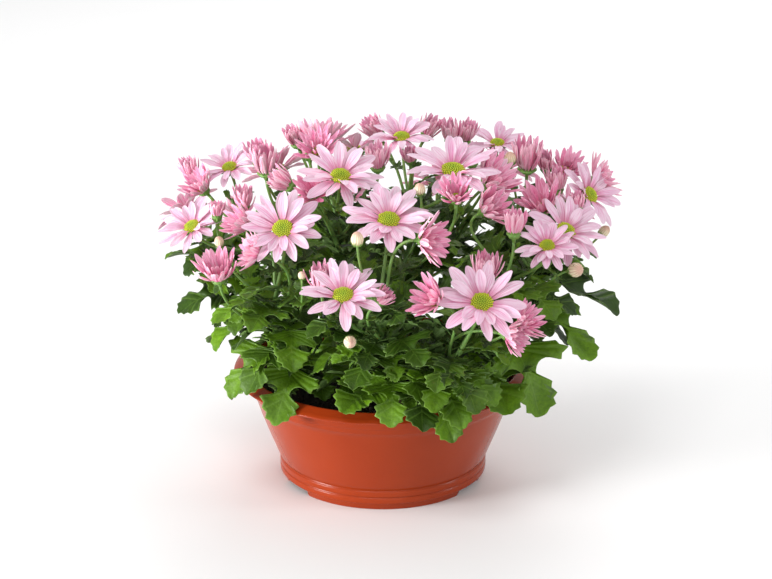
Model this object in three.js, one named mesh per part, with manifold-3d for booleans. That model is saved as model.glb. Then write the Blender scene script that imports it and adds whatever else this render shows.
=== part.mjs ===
// A pink daisy-flowered pot plant in a flaring plastic bowl.
// Millimetres, +Z up, +X right, the viewer on the -Y side.
// The origin is the centre of the bowl's resting plane.

import * as THREE from 'three';
import { mergeVertices } from 'three/addons/utils/BufferGeometryUtils.js';
import Module from 'manifold-3d';

const wasm = await Module();
wasm.setup();

// Bowl
const RIM_RADIUS = 115;
const RIM_EDGE_HEIGHT = 85;
const BOWL_HEIGHT = 90;
const RIM_INNER_RADIUS = 104.5;
const RIM_EDGE = [4.8, 2.8];
const COLLAR_RADIUS = 101.5;
const COLLAR_BOTTOM = 70.6;
const COLLAR_STEP = 0.2;
const COLLAR_HEIGHT = 10;
const COLLAR_FLARE = 2;
const FOOT_RADIUS = 76.8;
const BAND_RADIUS = 80.2;
const BAND_BOTTOM = 5.4;
const BAND_TOP = 16.2;
const WALL = 2.2;
const FLOOR_UNDERSIDE = 10;
const FLOOR_INSETS = [0.4, 1];
const BOWL_SIDES = 28;
const NOTCH_COUNT = 3;
const NOTCH_SPREAD = 22;
const NOTCH_TAPER = 0.72;
const NOTCH_BELOW = 1;
const NOTCH_DEPTH = 20;
const DRAIN_HOLES = 5;
const DRAIN_RADIUS = 4;
const DRAIN_CIRCLE = 48;
const DRAIN_SIDES = 5;
const CUT_PAST = 2;

// Soil
const SOIL_TOP = 78;
const SOIL_SIDES = 14;
const SOIL_EDGE_DROP = 3.5;
const SOIL_SHOULDER_RADIUS = 70;
const SOIL_SHOULDER_DROP = 0.6;
const SOIL_FLARE = 1.2;
const ROOT_DEPTH = 14;
const ROOT_HOLE_ABOVE = 4;

// Plant
const FIT_GAP = 0.3;
const TIDY = 0.15;
const BLADE = 0.7;
const STEM_RADIUS = 2.9;
const STEM_TOP_RADIUS = 1.9;
const STEM_SIDES = 5;
const BRANCH_SPANS = 3;
const STALK_RADIUS = 1.4;
const STALK_SIDES = 4;
const STALK_LEAN = 0.9;
const LEAF_LENGTH = 64;
const LEAF_STALK = 0.8;
const LEAF_ROOT_OUT = 1.2;
const LEAF_FOLD = 0.22;
const LEAF_DRAWS = 12;
const LOWEST_LEAF = 0.12;
const DISC_SHARE = 0.23;
const DISC_SIDES = 8;
const DISC_EDGE = 1.2;
const DISC_SHOULDER = 3.2;
const DISC_HEIGHT = 4;
const DISC_TOP_SHARE = 0.7;

const DEG = Math.PI / 180;
const UP = new THREE.Vector3(0, 0, 1);

// Five rooted plants, each pinched into two branches. A branch has its count of leaves and its heads,
// measured from the photograph's view: kind, x, y, z of the disc of an open or half-open head or of
// the base of a cup or bud, the way it faces (degrees round from the viewer, degrees above level),
// and its size: the petals' reach, or the height of a cup or bud. A branch ends in its first head.
const PLANTS = {
  left: {
    root: [-48, -28],
    branches: {
      front_left: {
        leaves: 7,
        heads: [
          ['open', -72, -93, 228, -8, 47, 32],
          ['half', -103, -61, 223, -70, 30, 17],
          ['half', -94, -99, 212, -80, 20, 15],
          ['half', -120, -91, 195, -20, 70, 20],
          ['bud', -119, -70, 208, -30, 70, 8],
          ['bud', -58, -118, 200, 0, 60, 6],
        ],
      },
      left: {
        leaves: 7,
        heads: [
          ['open', -142, -30, 209, -40, 58, 27],
          ['open', -117, 30, 237, -30, 65, 25],
          ['half', -139, 16, 227, -60, 50, 16],
          ['cup', -146, 34, 229, -70, 70, 16],
          ['cup', -103, -43, 229, -5, 80, 17],
          ['cup', -123, -39, 220, 10, 85, 12],
        ],
      },
    },
  },
  front: {
    root: [14, -56],
    branches: {
      front: {
        leaves: 8,
        heads: [
          ['open', 4, -98, 236, 4, 62, 34],
          ['open', -28, -141, 194, 0, 62, 32],
          ['half', 33, -120, 229, 60, 10, 18],
          ['bud', -18, -136, 231, -10, 80, 10],
          ['cup', -44, -112, 189, -10, 80, 20],
          ['cup', -3, -136, 188, 60, 45, 13],
          ['bud', -24, -150, 164, 10, 5, 10],
        ],
      },
      front_right: {
        leaves: 8,
        heads: [
          ['open', 70, -136, 187, 5, 50, 34],
          ['half', 34, -141, 192, -60, 30, 17],
          ['cup', 74, -104, 193, 10, 80, 22],
          ['half', 92, -140, 164, 60, 0, 15],
          ['half', 102, -129, 171, 60, 40, 15],
        ],
      },
    },
  },
  right: {
    root: [58, -10],
    branches: {
      right_front: {
        leaves: 7,
        heads: [
          ['open', 119, -84, 212, -5, 55, 24],
          ['open', 134, -56, 214, 30, 48, 31],
          ['half', 118, -26, 226, -30, 60, 20],
          ['cup', 95, -80, 220, -5, 85, 19],
          ['bud', 138, -79, 192, 30, 20, 12],
          ['half', 78, -66, 236, 60, 35, 18],
        ],
      },
      right: {
        leaves: 7,
        heads: [
          ['open', 155, -5, 226, 50, 38, 29],
          ['half', 166, 20, 232, 95, 30, 18],
          ['cup', 144, -32, 224, -5, 85, 13],
          ['bud', 166, 5, 192, 60, 50, 9],
          ['cup', 131, -1, 229, -10, 80, 18],
          ['cup', 124, 20, 239, -20, 65, 15],
          ['half', 140, 26, 238, 20, 50, 15],
          ['cup', 109, 12, 241, 10, 80, 26],
          ['bud', 96, 3, 249, -20, 70, 10],
        ],
      },
    },
  },
  centre: {
    root: [0, -6],
    branches: {
      centre_left: {
        leaves: 8,
        heads: [
          ['open', -31, -59, 257, 10, 62, 32],
          ['half', -51, -56, 245, -20, 45, 15],
          ['half', -49, -2, 262, -10, 55, 17],
          ['half', -47, 46, 257, 160, 70, 24],
          ['cup', -66, 44, 252, -50, 65, 16],
          ['cup', -68, -45, 246, -80, 35, 18],
          ['cup', -88, 0, 242, -10, 75, 23],
          ['cup', -4, -30, 255, 0, 80, 20],
        ],
      },
      centre_right: {
        leaves: 8,
        heads: [
          ['open', 51, -48, 258, 2, 74, 38],
          ['open', 14, 6, 268, -10, 72, 26],
          ['half', 52, -92, 254, -5, 58, 15],
          ['cup', 20, -21, 258, -10, 60, 12],
          ['half', 82, -28, 246, 70, 45, 22],
          ['bud', 27, -77, 250, -20, 70, 9],
          ['cup', 52, 28, 259, -20, 75, 18],
          ['cup', -3, 30, 262, -60, 55, 18],
          ['cup', 33, 32, 262, 60, 60, 17],
        ],
      },
    },
  },
  back: {
    root: [2, 46],
    branches: {
      back_right: {
        leaves: 10,
        heads: [
          ['open', 96, 100, 214, 145, 55, 30],
          ['open', 88, 50, 250, 5, 72, 25],
          ['cup', 62, 39, 256, 40, 70, 17],
          ['open', 44, 132, 192, 175, 48, 30],
          ['open', 146, 84, 190, 122, 45, 26],
          ['cup', 70, 90, 222, 160, 75, 18],
          ['bud', 100, 132, 172, 150, 40, 10],
        ],
      },
      back_left: {
        leaves: 10,
        heads: [
          ['open', -84, 106, 212, -150, 52, 31],
          ['open', -22, 94, 232, 180, 60, 30],
          ['open', -155, 82, 186, -125, 45, 30],
          ['cup', -93, 17, 245, -40, 70, 19],
          ['open', -30, 148, 176, -172, 42, 27],
          ['cup', -58, 90, 228, -150, 75, 17],
          ['half', -118, 126, 172, -145, 45, 18],
        ],
      },
    },
  },
};

// Leaves that show at the edges and over the rim: branch, share of the branch's length where it
// grows, x, y, z of the tip, and how far the midrib arches up.
const PLACED_LEAVES = [
  ['front_left', 0.3, -80, -100, 79, 22],
  ['front_left', 0.5, -118, -72, 90, 20],
  ['front', 0.22, -30, -122, 97, 10],
  ['front', 0.3, 6, -130, 92, 16],
  ['front_right', 0.26, 30, -134, 90, 16],
  ['front_right', 0.45, 58, -138, 92, 20],
  ['right_front', 0.3, 92, -104, 88, 16],
  ['right_front', 0.55, 120, -88, 82, 26],
  ['right', 0.6, 158, -44, 108, 24],
  ['right', 0.75, 178, -18, 134, 18],
  ['left', 0.55, -128, -52, 120, 20],
  ['left', 0.7, -156, -36, 146, 14],
  ['left', 0.85, -166, -4, 180, 12],
];

// Solids

const WELD = 1e-3;
const NEARLY_UPRIGHT = 0.99;

function solid(vertices, triangles) {
  const vertProperties = new Float32Array(vertices.flatMap((p) => [p.x, p.y, p.z]));
  const triVerts = new Uint32Array(triangles.flat());
  return new wasm.Manifold(new wasm.Mesh({ numProp: 3, vertProperties, triVerts }));
}

function fromGeometry(geometry) {
  geometry.deleteAttribute('normal');
  geometry.deleteAttribute('uv');
  const merged = mergeVertices(geometry, WELD);
  const place = merged.getAttribute('position');
  const index = merged.getIndex().array;
  const vertices = Array.from({ length: place.count },
    (_, i) => new THREE.Vector3().fromBufferAttribute(place, i));
  const triangles = [];
  for (let i = 0; i < index.length; i += 3) {
    const [a, b, c] = index.slice(i, i + 3);
    if (a !== b && b !== c && c !== a) triangles.push([a, b, c]);
  }
  return solid(vertices, triangles);
}

// A thin blade: its middle surface given as points and triangles that turn left seen from above,
// thickened both ways along the points' normals, with a rim round its outline. The first point's
// upper side may stand up as a dome.
function blade(points, triangles, thickness, dome = 0) {
  const normals = points.map(() => new THREE.Vector3());
  for (const [a, b, c] of triangles) {
    const ab = points[b].clone().sub(points[a]);
    const ac = points[c].clone().sub(points[a]);
    const normal = ab.cross(ac);
    for (const corner of [a, b, c]) normals[corner].add(normal);
  }
  const top = points.map((p, i) => p.clone().addScaledVector(normals[i].normalize(), thickness / 2));
  const bottom = points.map((p, i) => p.clone().addScaledVector(normals[i], -thickness / 2));
  top[0].addScaledVector(normals[0], dome);
  const under = points.length;
  const faces = [];
  const edges = new Set();
  for (const [a, b, c] of triangles) {
    faces.push([a, b, c], [a + under, c + under, b + under]);
    for (const [from, to] of [[a, b], [b, c], [c, a]]) edges.add(`${from},${to}`);
  }
  for (const edge of edges) {
    const [from, to] = edge.split(',').map(Number);
    if (!edges.has(`${to},${from}`)) {
      faces.push([from, from + under, to + under], [from, to + under, to]);
    }
  }
  return solid([...top, ...bottom], faces);
}

// A tapering stem through the given points, with a ring of corners at each and flat ends.
function tube(points, radii, sides) {
  const vertices = [];
  const faces = [];
  let across = null;
  points.forEach((point, i) => {
    const before = points[Math.max(i - 1, 0)];
    const after = points[Math.min(i + 1, points.length - 1)];
    const along = after.clone().sub(before).normalize();
    if (!across) across = sideOf(along);
    across.addScaledVector(along, -across.dot(along)).normalize();
    const third = along.clone().cross(across);
    for (let k = 0; k < sides; k += 1) {
      const turn = (2 * Math.PI * k) / sides;
      vertices.push(point.clone()
        .addScaledVector(across, radii[i] * Math.cos(turn))
        .addScaledVector(third, radii[i] * Math.sin(turn)));
    }
  });
  const rings = points.length;
  for (let i = 0; i + 1 < rings; i += 1) {
    for (let k = 0; k < sides; k += 1) {
      const next = (k + 1) % sides;
      const [a, b] = [i * sides + k, i * sides + next];
      faces.push([a, b, b + sides], [a, b + sides, a + sides]);
    }
  }
  const last = (rings - 1) * sides;
  for (let k = 1; k + 1 < sides; k += 1) {
    faces.push([0, k + 1, k], [last, last + k, last + k + 1]);
  }
  return solid(vertices, faces);
}

function sideOf(axis) {
  const reference = Math.abs(axis.z) < NEARLY_UPRIGHT ? UP : new THREE.Vector3(1, 0, 0);
  return reference.clone().cross(axis).normalize();
}

// Repeatable draws from 0 to 1, each from the state before it.
const DRAW_FACTOR = 1664525;
const DRAW_STEP = 1013904223;
const DRAW_RANGE = 2 ** 32;

function randomFrom(seed) {
  let state = seed;
  return () => {
    state = (state * DRAW_FACTOR + DRAW_STEP) % DRAW_RANGE;
    return state / DRAW_RANGE;
  };
}

// Bowl

// Outside and inside of the bowl's wall, from the foot up: radius, height.
const WALL_LINE = [[79.6, BAND_TOP + 0.3], [84.6, 27.5], [92, 47], [100, COLLAR_BOTTOM]];

function lathe(profile, sides) {
  const points = profile.map(([radius, height]) => new THREE.Vector2(radius, height));
  const geometry = new THREE.LatheGeometry(points, sides);
  geometry.rotateX(Math.PI / 2);
  return fromGeometry(geometry);
}

function bowl() {
  const outside = [
    [FOOT_RADIUS, 0], [BAND_RADIUS, BAND_BOTTOM], [BAND_RADIUS, BAND_TOP], ...WALL_LINE,
    [COLLAR_RADIUS, COLLAR_BOTTOM + COLLAR_STEP],
    [COLLAR_RADIUS + COLLAR_FLARE, COLLAR_BOTTOM + COLLAR_HEIGHT],
    [RIM_RADIUS, RIM_EDGE_HEIGHT], [RIM_RADIUS - RIM_EDGE[0], BOWL_HEIGHT - RIM_EDGE[1]],
    [RIM_INNER_RADIUS, BOWL_HEIGHT],
  ];
  const inside = [WALL_LINE[3], WALL_LINE[0]].map(([radius, height]) => [radius - WALL, height]);
  const [above, below] = FLOOR_INSETS.map((inset) => BAND_RADIUS - inset - WALL);
  const floor = [
    [above, FLOOR_UNDERSIDE + WALL], [0, FLOOR_UNDERSIDE + WALL], [0, FLOOR_UNDERSIDE],
    [below, FLOOR_UNDERSIDE], [FOOT_RADIUS - WALL, 0], [FOOT_RADIUS, 0],
  ];
  let made = lathe([...outside, ...inside, ...floor], BOWL_SIDES);
  for (let i = 0; i < NOTCH_COUNT; i += 1) {
    made = made.subtract(notch(180 + (360 / NOTCH_COUNT) * i));
  }
  for (let i = 0; i < DRAIN_HOLES; i += 1) {
    const turn = (2 * Math.PI * i) / DRAIN_HOLES;
    const at = new THREE.Vector3(DRAIN_CIRCLE * Math.cos(turn), DRAIN_CIRCLE * Math.sin(turn), 0);
    const top = at.clone().setZ(FLOOR_UNDERSIDE + WALL + CUT_PAST);
    made = made.subtract(tube([at, top], [DRAIN_RADIUS, DRAIN_RADIUS], DRAIN_SIDES));
  }
  return made;
}

// A drainage notch in the foot ring: a wedge that is wider at the bottom, turned to its place.
function notch(turn) {
  const shape = new THREE.Shape();
  const bottom = FOOT_RADIUS * Math.tan((NOTCH_SPREAD / 2) * DEG);
  const top = bottom * NOTCH_TAPER;
  shape.moveTo(-bottom, -NOTCH_BELOW);
  shape.lineTo(bottom, -NOTCH_BELOW);
  shape.lineTo(top, BAND_BOTTOM);
  shape.lineTo(-top, BAND_BOTTOM);
  shape.closePath();
  const geometry = new THREE.ExtrudeGeometry(shape, { depth: NOTCH_DEPTH, bevelEnabled: false });
  geometry.rotateX(Math.PI / 2);
  geometry.translate(0, NOTCH_DEPTH / 2 - FOOT_RADIUS, 0);
  geometry.rotateZ(turn * DEG);
  return fromGeometry(geometry);
}

function soil(roots) {
  const inner = [WALL_LINE[0], WALL_LINE[3]].map(([radius, height]) => [radius - WALL - FIT_GAP, height]);
  const bottom = FLOOR_UNDERSIDE + WALL + FIT_GAP;
  const top = inner[1];
  const profile = [
    [0, bottom], [inner[0][0] - 2 * FIT_GAP, bottom], ...inner,
    [top[0] + SOIL_FLARE, SOIL_TOP - SOIL_EDGE_DROP],
    [SOIL_SHOULDER_RADIUS, SOIL_TOP - SOIL_SHOULDER_DROP], [0, SOIL_TOP],
  ];
  let made = lathe(profile, SOIL_SIDES);
  for (const [x, y] of roots) {
    const low = new THREE.Vector3(x, y, SOIL_TOP - ROOT_DEPTH - FIT_GAP);
    const high = new THREE.Vector3(x, y, SOIL_TOP + ROOT_HOLE_ABOVE);
    const radius = STEM_RADIUS + 3 * FIT_GAP;
    made = made.subtract(tube([low, high], [radius, radius], STEM_SIDES));
  }
  return made;
}

// Heads

function facing(around, above) {
  const level = Math.cos(above * DEG);
  const [x, y] = [Math.sin(around * DEG) * level, -Math.cos(around * DEG) * level];
  return new THREE.Vector3(x, y, Math.sin(above * DEG));
}

// A head's own frame: a point at the given radius, angle and height above its base.
function headPoint(head, radius, angle, height) {
  return head.base.clone()
    .addScaledVector(head.side, radius * Math.cos(angle))
    .addScaledVector(head.third, radius * Math.sin(angle))
    .addScaledVector(head.axis, height);
}

const PETALS = 13;
const BACK_PETALS = 11;
const PETAL_SHORTEST = 0.92;
const PETAL_LENGTH_RANGE = 0.14;
const PETAL_RISE = 14;
const PETAL_SPREAD = 7;
const PETAL_RISE_RANGE = 6;
const PETAL_SAG = 0.12;
const PETAL_HALF_WIDTH = 5.6;
const PETAL_FILL = 0.92;
const HUB_EDGE = 0.8;

function hubRadius(head) {
  return DISC_SHARE * head.size + HUB_EDGE;
}

// An open bloom's petals as one lobed sheet. Each blunt petal leaves the hub at its rise above the
// head's plane, every other one higher, and sags towards its end.
function petalSheet(head, grow) {
  const count = head.ownDisc ? PETALS : BACK_PETALS;
  const random = randomFrom(head.seed);
  const hub = hubRadius(head);
  const phase = random() * 2 * Math.PI;
  const points = [head.base.clone()];
  const triangles = [];
  for (let i = 0; i < count; i += 1) {
    const length = (head.size - hub) * (PETAL_SHORTEST + PETAL_LENGTH_RANGE * random());
    const spread = i % 2 ? PETAL_SPREAD : -PETAL_SPREAD;
    const slope = (PETAL_RISE + spread + PETAL_RISE_RANGE * (random() - 0.5)) * DEG;
    const start = phase + (2 * Math.PI * i) / count;
    const middle = start + Math.PI / count;
    const end = hub + (length + grow) * Math.cos(slope);
    const height = length * (Math.sin(slope) - PETAL_SAG);
    const half = Math.min((PETAL_FILL * Math.PI) / count, PETAL_HALF_WIDTH / end) + grow / end;
    points.push(
      headPoint(head, hub + grow, start, 0),
      headPoint(head, end, middle - half, height),
      headPoint(head, end, middle + half, height),
    );
    const first = 1 + 3 * i;
    const next = 1 + 3 * ((i + 1) % count);
    triangles.push([0, first, next], [first, first + 1, first + 2], [first, first + 2, next]);
  }
  return blade(points, triangles, BLADE + 2 * grow, head.ownDisc ? 0 : DISC_HEIGHT);
}

// The domed disc in the middle of a head.
function disc(head, radius, lift, sides, grow) {
  const rings = [
    [radius + grow, lift - grow], [radius + grow, lift + DISC_EDGE],
    [radius * DISC_TOP_SHARE, lift + DISC_SHOULDER + grow],
  ];
  const vertices = rings.flatMap(([r, height]) => Array.from({ length: sides },
    (_, k) => headPoint(head, r, (2 * Math.PI * k) / sides, height)));
  vertices.push(headPoint(head, 0, 0, lift - grow), headPoint(head, 0, 0, lift + DISC_HEIGHT + grow));
  const [low, high] = [vertices.length - 2, vertices.length - 1];
  const triangles = [];
  for (let k = 0; k < sides; k += 1) {
    const next = (k + 1) % sides;
    triangles.push([low, next, k], [high, 2 * sides + k, 2 * sides + next]);
    for (const ring of [0, sides]) {
      const [a, b] = [ring + k, ring + next];
      triangles.push([a, b, b + sides], [a, b + sides, a + sides]);
    }
  }
  return solid(vertices, triangles);
}

// A ring of points round a head's axis, turned by a share of the step between them.
function ringOf(head, count, phase, radius, height, shift) {
  return Array.from({ length: count }, (_, k) => (
    headPoint(head, radius, phase + (2 * Math.PI * (k + shift)) / count, height)));
}

// A closed cup: pointed petals round a pointed core, with a groove between each two. Widths are
// shares of its half width, heights of its height.
const CUP_PETALS = 8;
const CUP_HALF_WIDTH = [0.36, 1.5];
const CUP_WAIST = { width: 0.86, height: 0.42 };
const CUP_TIP = { width: 1.06, height: 0.96 };
const CUP_CORE = 0.9;

function cup(head, grow) {
  const tall = head.size;
  const wide = CUP_HALF_WIDTH[0] * tall + CUP_HALF_WIDTH[1];
  const phase = randomFrom(head.seed)() * 2 * Math.PI;
  const vertices = [
    ...ringOf(head, CUP_PETALS, phase, CUP_WAIST.width * wide + grow, CUP_WAIST.height * tall, 0),
    ...ringOf(head, CUP_PETALS, phase, CUP_TIP.width * wide + grow, CUP_TIP.height * tall + grow, 0.5),
    headPoint(head, 0, 0, FIT_GAP - grow),
    headPoint(head, 0, 0, CUP_CORE * tall + grow),
  ];
  const [tips, base, core] = [CUP_PETALS, 2 * CUP_PETALS, 2 * CUP_PETALS + 1];
  const triangles = [];
  for (let k = 0; k < CUP_PETALS; k += 1) {
    const next = (k + 1) % CUP_PETALS;
    triangles.push([base, next, k], [k, next, tips + k], [core, k, tips + k], [core, tips + k, next]);
  }
  return solid(vertices, triangles);
}

// A half-open head: broad petals leaning out round a funnel. Radii and heights are shares of its
// reach, and a petal's sides stand at shares of the step from one petal to the next.
const HALF_PETALS = 8;
const HALF_FOOT = { radius: 0.44, height: 0.3 };
const HALF_SIDE = { radius: 0.74, height: 0.66 };
const HALF_TIP = { radius: 0.9, height: 0.88 };
const HALF_SIDE_SHIFTS = [0.18, 0.82];
const HALF_CORE = 0.42;

function halfOpen(head, grow) {
  const reach = head.size;
  const phase = randomFrom(head.seed)() * 2 * Math.PI;
  const ring = ({ radius, height }, shift, higher = 0) => (
    ringOf(head, HALF_PETALS, phase, radius * reach + grow, height * reach + higher, shift));
  const vertices = [
    ...ring(HALF_FOOT, 0),
    ...ring(HALF_SIDE, HALF_SIDE_SHIFTS[0]),
    ...ring(HALF_TIP, 0.5, grow),
    ...ring(HALF_SIDE, HALF_SIDE_SHIFTS[1]),
    headPoint(head, 0, 0, FIT_GAP - grow),
    headPoint(head, 0, 0, HALF_CORE * reach + 2 * grow),
  ];
  const n = HALF_PETALS;
  const [rightSide, tips, leftSide, base, core] = [n, 2 * n, 3 * n, 4 * n, 4 * n + 1];
  const triangles = [];
  for (let k = 0; k < n; k += 1) {
    const next = (k + 1) % n;
    const outline = [k, rightSide + k, tips + k, leftSide + k, next];
    triangles.push([base, next, k]);
    for (let i = 0; i < 4; i += 1) triangles.push([outline[i], outline[i + 1], core]);
    for (let i = 1; i < 4; i += 1) triangles.push([outline[0], outline[i + 1], outline[i]]);
  }
  return solid(vertices, triangles);
}

// What is pink on a head, or null for a bud.
function pinkOf(head, grow = 0) {
  if (head.kind === 'bud') return null;
  if (head.kind === 'cup') return cup(head, grow);
  if (head.kind === 'half') return halfOpen(head, grow);
  return petalSheet(head, grow);
}

// The green under a head, or a whole bud: heights along the head's axis, and radii. A bud's are
// shares of its height, above its foot.
const BUD_FOOT = [-1.5, 1.6];
const BUD_LINE = [[0.25, 0.42], [0.7, 0.4], [1, 0.12]];
const CALYX_HEIGHT = 6;
const OPEN_CALYX_SHARE = 0.16;
const CUP_CALYX_RADIUS = 3;

function calyxRings(head) {
  if (head.kind === 'bud') {
    return [BUD_FOOT, ...BUD_LINE.map(([height, radius]) => [height * head.size, radius * head.size])];
  }
  const open = head.kind === 'open';
  const top = open ? -BLADE / 2 - FIT_GAP : 0;
  const wide = open ? OPEN_CALYX_SHARE * head.size : CUP_CALYX_RADIUS;
  return [[top - CALYX_HEIGHT, STALK_RADIUS], [top, wide]];
}

// Stems

const HALF_SINK = 0.35;
const DISC_SEEN_TO = { x: 150, y: 25 };
const BRANCH_SEED = 1000;
const HEAD_SEED = 17;
const LEAF_SEED = 77;
const COLLAR_ABOVE_SOIL = 6;
const FORK_TO_ROOT = 0.3;
const FORK_TO_HEADS = 0.7;
const FORK_BELOW_HEADS = 42;
const BRANCH_RISE = 8;
const STALK_HIGHEST = 0.96;
const STALK_RANGE = 0.5;
const STALK_PULLS = [0.3, 0.38];
const STALK_TAPER = [1.2, 0.9];
const BRANCH_TAPER = [0.9, 0.8, 0.7];
const STEM_OVERLAP = 2;

function headOf(name, row, seed) {
  const [kind, x, y, z, around, above, size] = row;
  const axis = facing(around, above);
  const side = sideOf(axis);
  const sink = kind === 'half' ? -HALF_SINK * size : 0;
  return {
    name, kind, size, axis, side, seed,
    ownDisc: kind === 'open' && y < DISC_SEEN_TO.y && x < DISC_SEEN_TO.x,
    base: new THREE.Vector3(x, y, z).addScaledVector(axis, sink),
    third: axis.clone().cross(side),
  };
}

function branchOf(plant, root, name, { leaves: leafCount, heads: rows }, index) {
  const seed = BRANCH_SEED * (index + 1);
  const heads = rows.map((row, i) => headOf(`${name}_${i + 1}`, row, seed + HEAD_SEED * (i + 1)));
  const mean = heads.reduce((sum, head) => sum.add(head.base), new THREE.Vector3())
    .divideScalar(heads.length);
  const collar = new THREE.Vector3(root[0], root[1], SOIL_TOP + COLLAR_ABOVE_SOIL);
  const fork = new THREE.Vector3(
    FORK_TO_ROOT * root[0] + FORK_TO_HEADS * mean.x,
    FORK_TO_ROOT * root[1] + FORK_TO_HEADS * mean.y,
    mean.z - FORK_BELOW_HEADS,
  );
  const bend = collar.clone().lerp(fork, 0.5);
  bend.z += BRANCH_RISE;
  return { plant, root, name, heads, leafCount, collar, bend, fork, seed: LEAF_SEED * (index + 1) };
}

// A point on a branch, which runs straight between four joints on a curve from collar to fork.
function onBranch(branch, share) {
  const curve = new THREE.QuadraticBezierCurve3(branch.collar, branch.bend, branch.fork);
  const below = Math.min(Math.floor(share * BRANCH_SPANS), BRANCH_SPANS - 1);
  const low = curve.getPoint(below / BRANCH_SPANS);
  return low.lerp(curve.getPoint((below + 1) / BRANCH_SPANS), share * BRANCH_SPANS - below);
}

// The stalk of a head leaves the branch the lower the lower the head sits among the others, swings
// out and ends square to the head. The first head's stalk goes on from the branch's end.
function stalkStart(branch, head) {
  const order = [...branch.heads.slice(1)].sort((a, b) => b.base.z - a.base.z).indexOf(head);
  return STALK_HIGHEST - STALK_RANGE * (order / (branch.heads.length - 1));
}

function stalkPoints(branch, head) {
  const first = head === branch.heads[0];
  const start = first ? branch.fork : onBranch(branch, stalkStart(branch, head));
  const end = head.base.clone().addScaledVector(head.axis, calyxRings(head)[0][0]);
  const span = end.distanceTo(start);
  const grown = branch.fork.clone().sub(branch.bend).normalize();
  const lean = end.clone().sub(start).normalize();
  if (!first) lean.addScaledVector(grown, -lean.dot(grown)).normalize().addScaledVector(grown, STALK_LEAN);
  const out = start.clone().addScaledVector(lean.normalize(), STALK_PULLS[0] * span);
  const under = end.clone().addScaledVector(head.axis, -STALK_PULLS[1] * span);
  const curve = new THREE.CubicBezierCurve3(start, out, under, end);
  return [start, curve.getPoint(0.5), end];
}

function addCalyx(head, points, radii, grow) {
  for (const [height, radius] of calyxRings(head).slice(1)) {
    points.push(head.base.clone().addScaledVector(head.axis, height + (grow ? FIT_GAP / 2 : 0)));
    radii.push(radius + grow);
  }
}

function stalk(branch, head, grow) {
  const points = stalkPoints(branch, head);
  const radii = STALK_TAPER.map((share) => STALK_RADIUS * share + grow);
  radii.push(calyxRings(head)[0][1] + grow);
  addCalyx(head, points, radii, grow);
  return tube(points, radii, STALK_SIDES);
}

function branchTube(branch, grow) {
  const head = branch.heads[0];
  const joints = Array.from({ length: BRANCH_SPANS }, (_, i) => onBranch(branch, i / BRANCH_SPANS));
  const points = [...joints, ...stalkPoints(branch, head)];
  const radii = BRANCH_TAPER.map((share) => share * STEM_RADIUS + grow);
  radii.push(STEM_TOP_RADIUS + grow, STALK_RADIUS + grow, calyxRings(head)[0][1] + grow);
  addCalyx(head, points, radii, grow);
  return tube(points, radii, STEM_SIDES);
}

function skeleton(branches, grow = 0) {
  const { collar, root } = branches[0];
  const foot = new THREE.Vector3(root[0], root[1], SOIL_TOP - ROOT_DEPTH);
  const top = collar.clone().setZ(collar.z + STEM_OVERLAP);
  return wasm.Manifold.union([
    tube([foot, top], [STEM_RADIUS + grow, STEM_RADIUS + grow], STEM_SIDES),
    ...branches.map((branch) => branchTube(branch, grow)),
    ...branches.flatMap((branch) => branch.heads.slice(1).map((head) => stalk(branch, head, grow))),
  ]);
}

// Leaves

// One side of the blade's outline from the stalk to the tip: share of the length, share of the
// length out from the midrib. Two pairs of lobes and the end lobe.
const LEAF_EDGE = [[0.31, 0.25], [0.45, 0.1], [0.64, 0.35], [0.78, 0.14]];
const LEAF_MIDDLE = 0.52;

function leafPoint(leaf, along, across) {
  const curve = new THREE.QuadraticBezierCurve3(leaf.root, leaf.arch, leaf.tip);
  const point = curve.getPoint(along);
  const tangent = curve.getTangent(along);
  const normal = leaf.side.clone().cross(tangent).normalize().negate();
  return point.addScaledVector(leaf.side, across * leaf.length)
    .addScaledVector(normal, LEAF_FOLD * Math.abs(across) * leaf.length);
}

function leafBlade(leaf, grow = 0) {
  const wider = grow / leaf.length;
  const edge = [...LEAF_EDGE];
  const points = [
    leafPoint(leaf, LEAF_MIDDLE, 0),
    leafPoint(leaf, 0, -LEAF_STALK / leaf.length - wider),
    ...edge.map(([along, across]) => leafPoint(leaf, along, -across - wider)),
    leafPoint(leaf, 1 + wider, 0),
    ...edge.reverse().map(([along, across]) => leafPoint(leaf, along, across + wider)),
    leafPoint(leaf, 0, LEAF_STALK / leaf.length + wider),
  ];
  const corners = points.length - 1;
  const triangles = Array.from({ length: corners }, (_, i) => [0, 1 + i, 1 + ((i + 1) % corners)]);
  return blade(points, triangles, BLADE + 2 * grow);
}

function makeLeaf(branch, axisPoint, tip, lift) {
  const level = tip.clone().sub(axisPoint).setZ(0).normalize();
  const root = axisPoint.clone().addScaledVector(level, LEAF_ROOT_OUT);
  const length = root.distanceTo(tip);
  const side = new THREE.Vector3(-level.y, level.x, 0);
  const arch = root.clone().lerp(tip, 0.5);
  arch.z += lift;
  return { branch, root, tip, arch, side, length };
}

// How clear a leaf lies of the bowl, the heads and the leaves before it, at three places along it.
const LEAF_PLACES = [0.5, 0.75, 1];
const LEAF_HEART = 0.75;
const LEAF_APART = 13;
const LEAF_ABOVE = 5;
const OVER_SOIL_RADIUS = 96;
const OVER_RIM = 8;
const LOWEST_OUTSIDE = 60;
const BLOOM_MIDDLE = 2;
const BLOOM_REACH = 0.9;
const CUP_MIDDLE = 0.5;
const CUP_REACH = 0.6;

function lowestAt(out) {
  if (out < OVER_SOIL_RADIUS) return SOIL_TOP;
  return out < RIM_RADIUS + OVER_RIM ? BOWL_HEIGHT : LOWEST_OUTSIDE;
}

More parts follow.
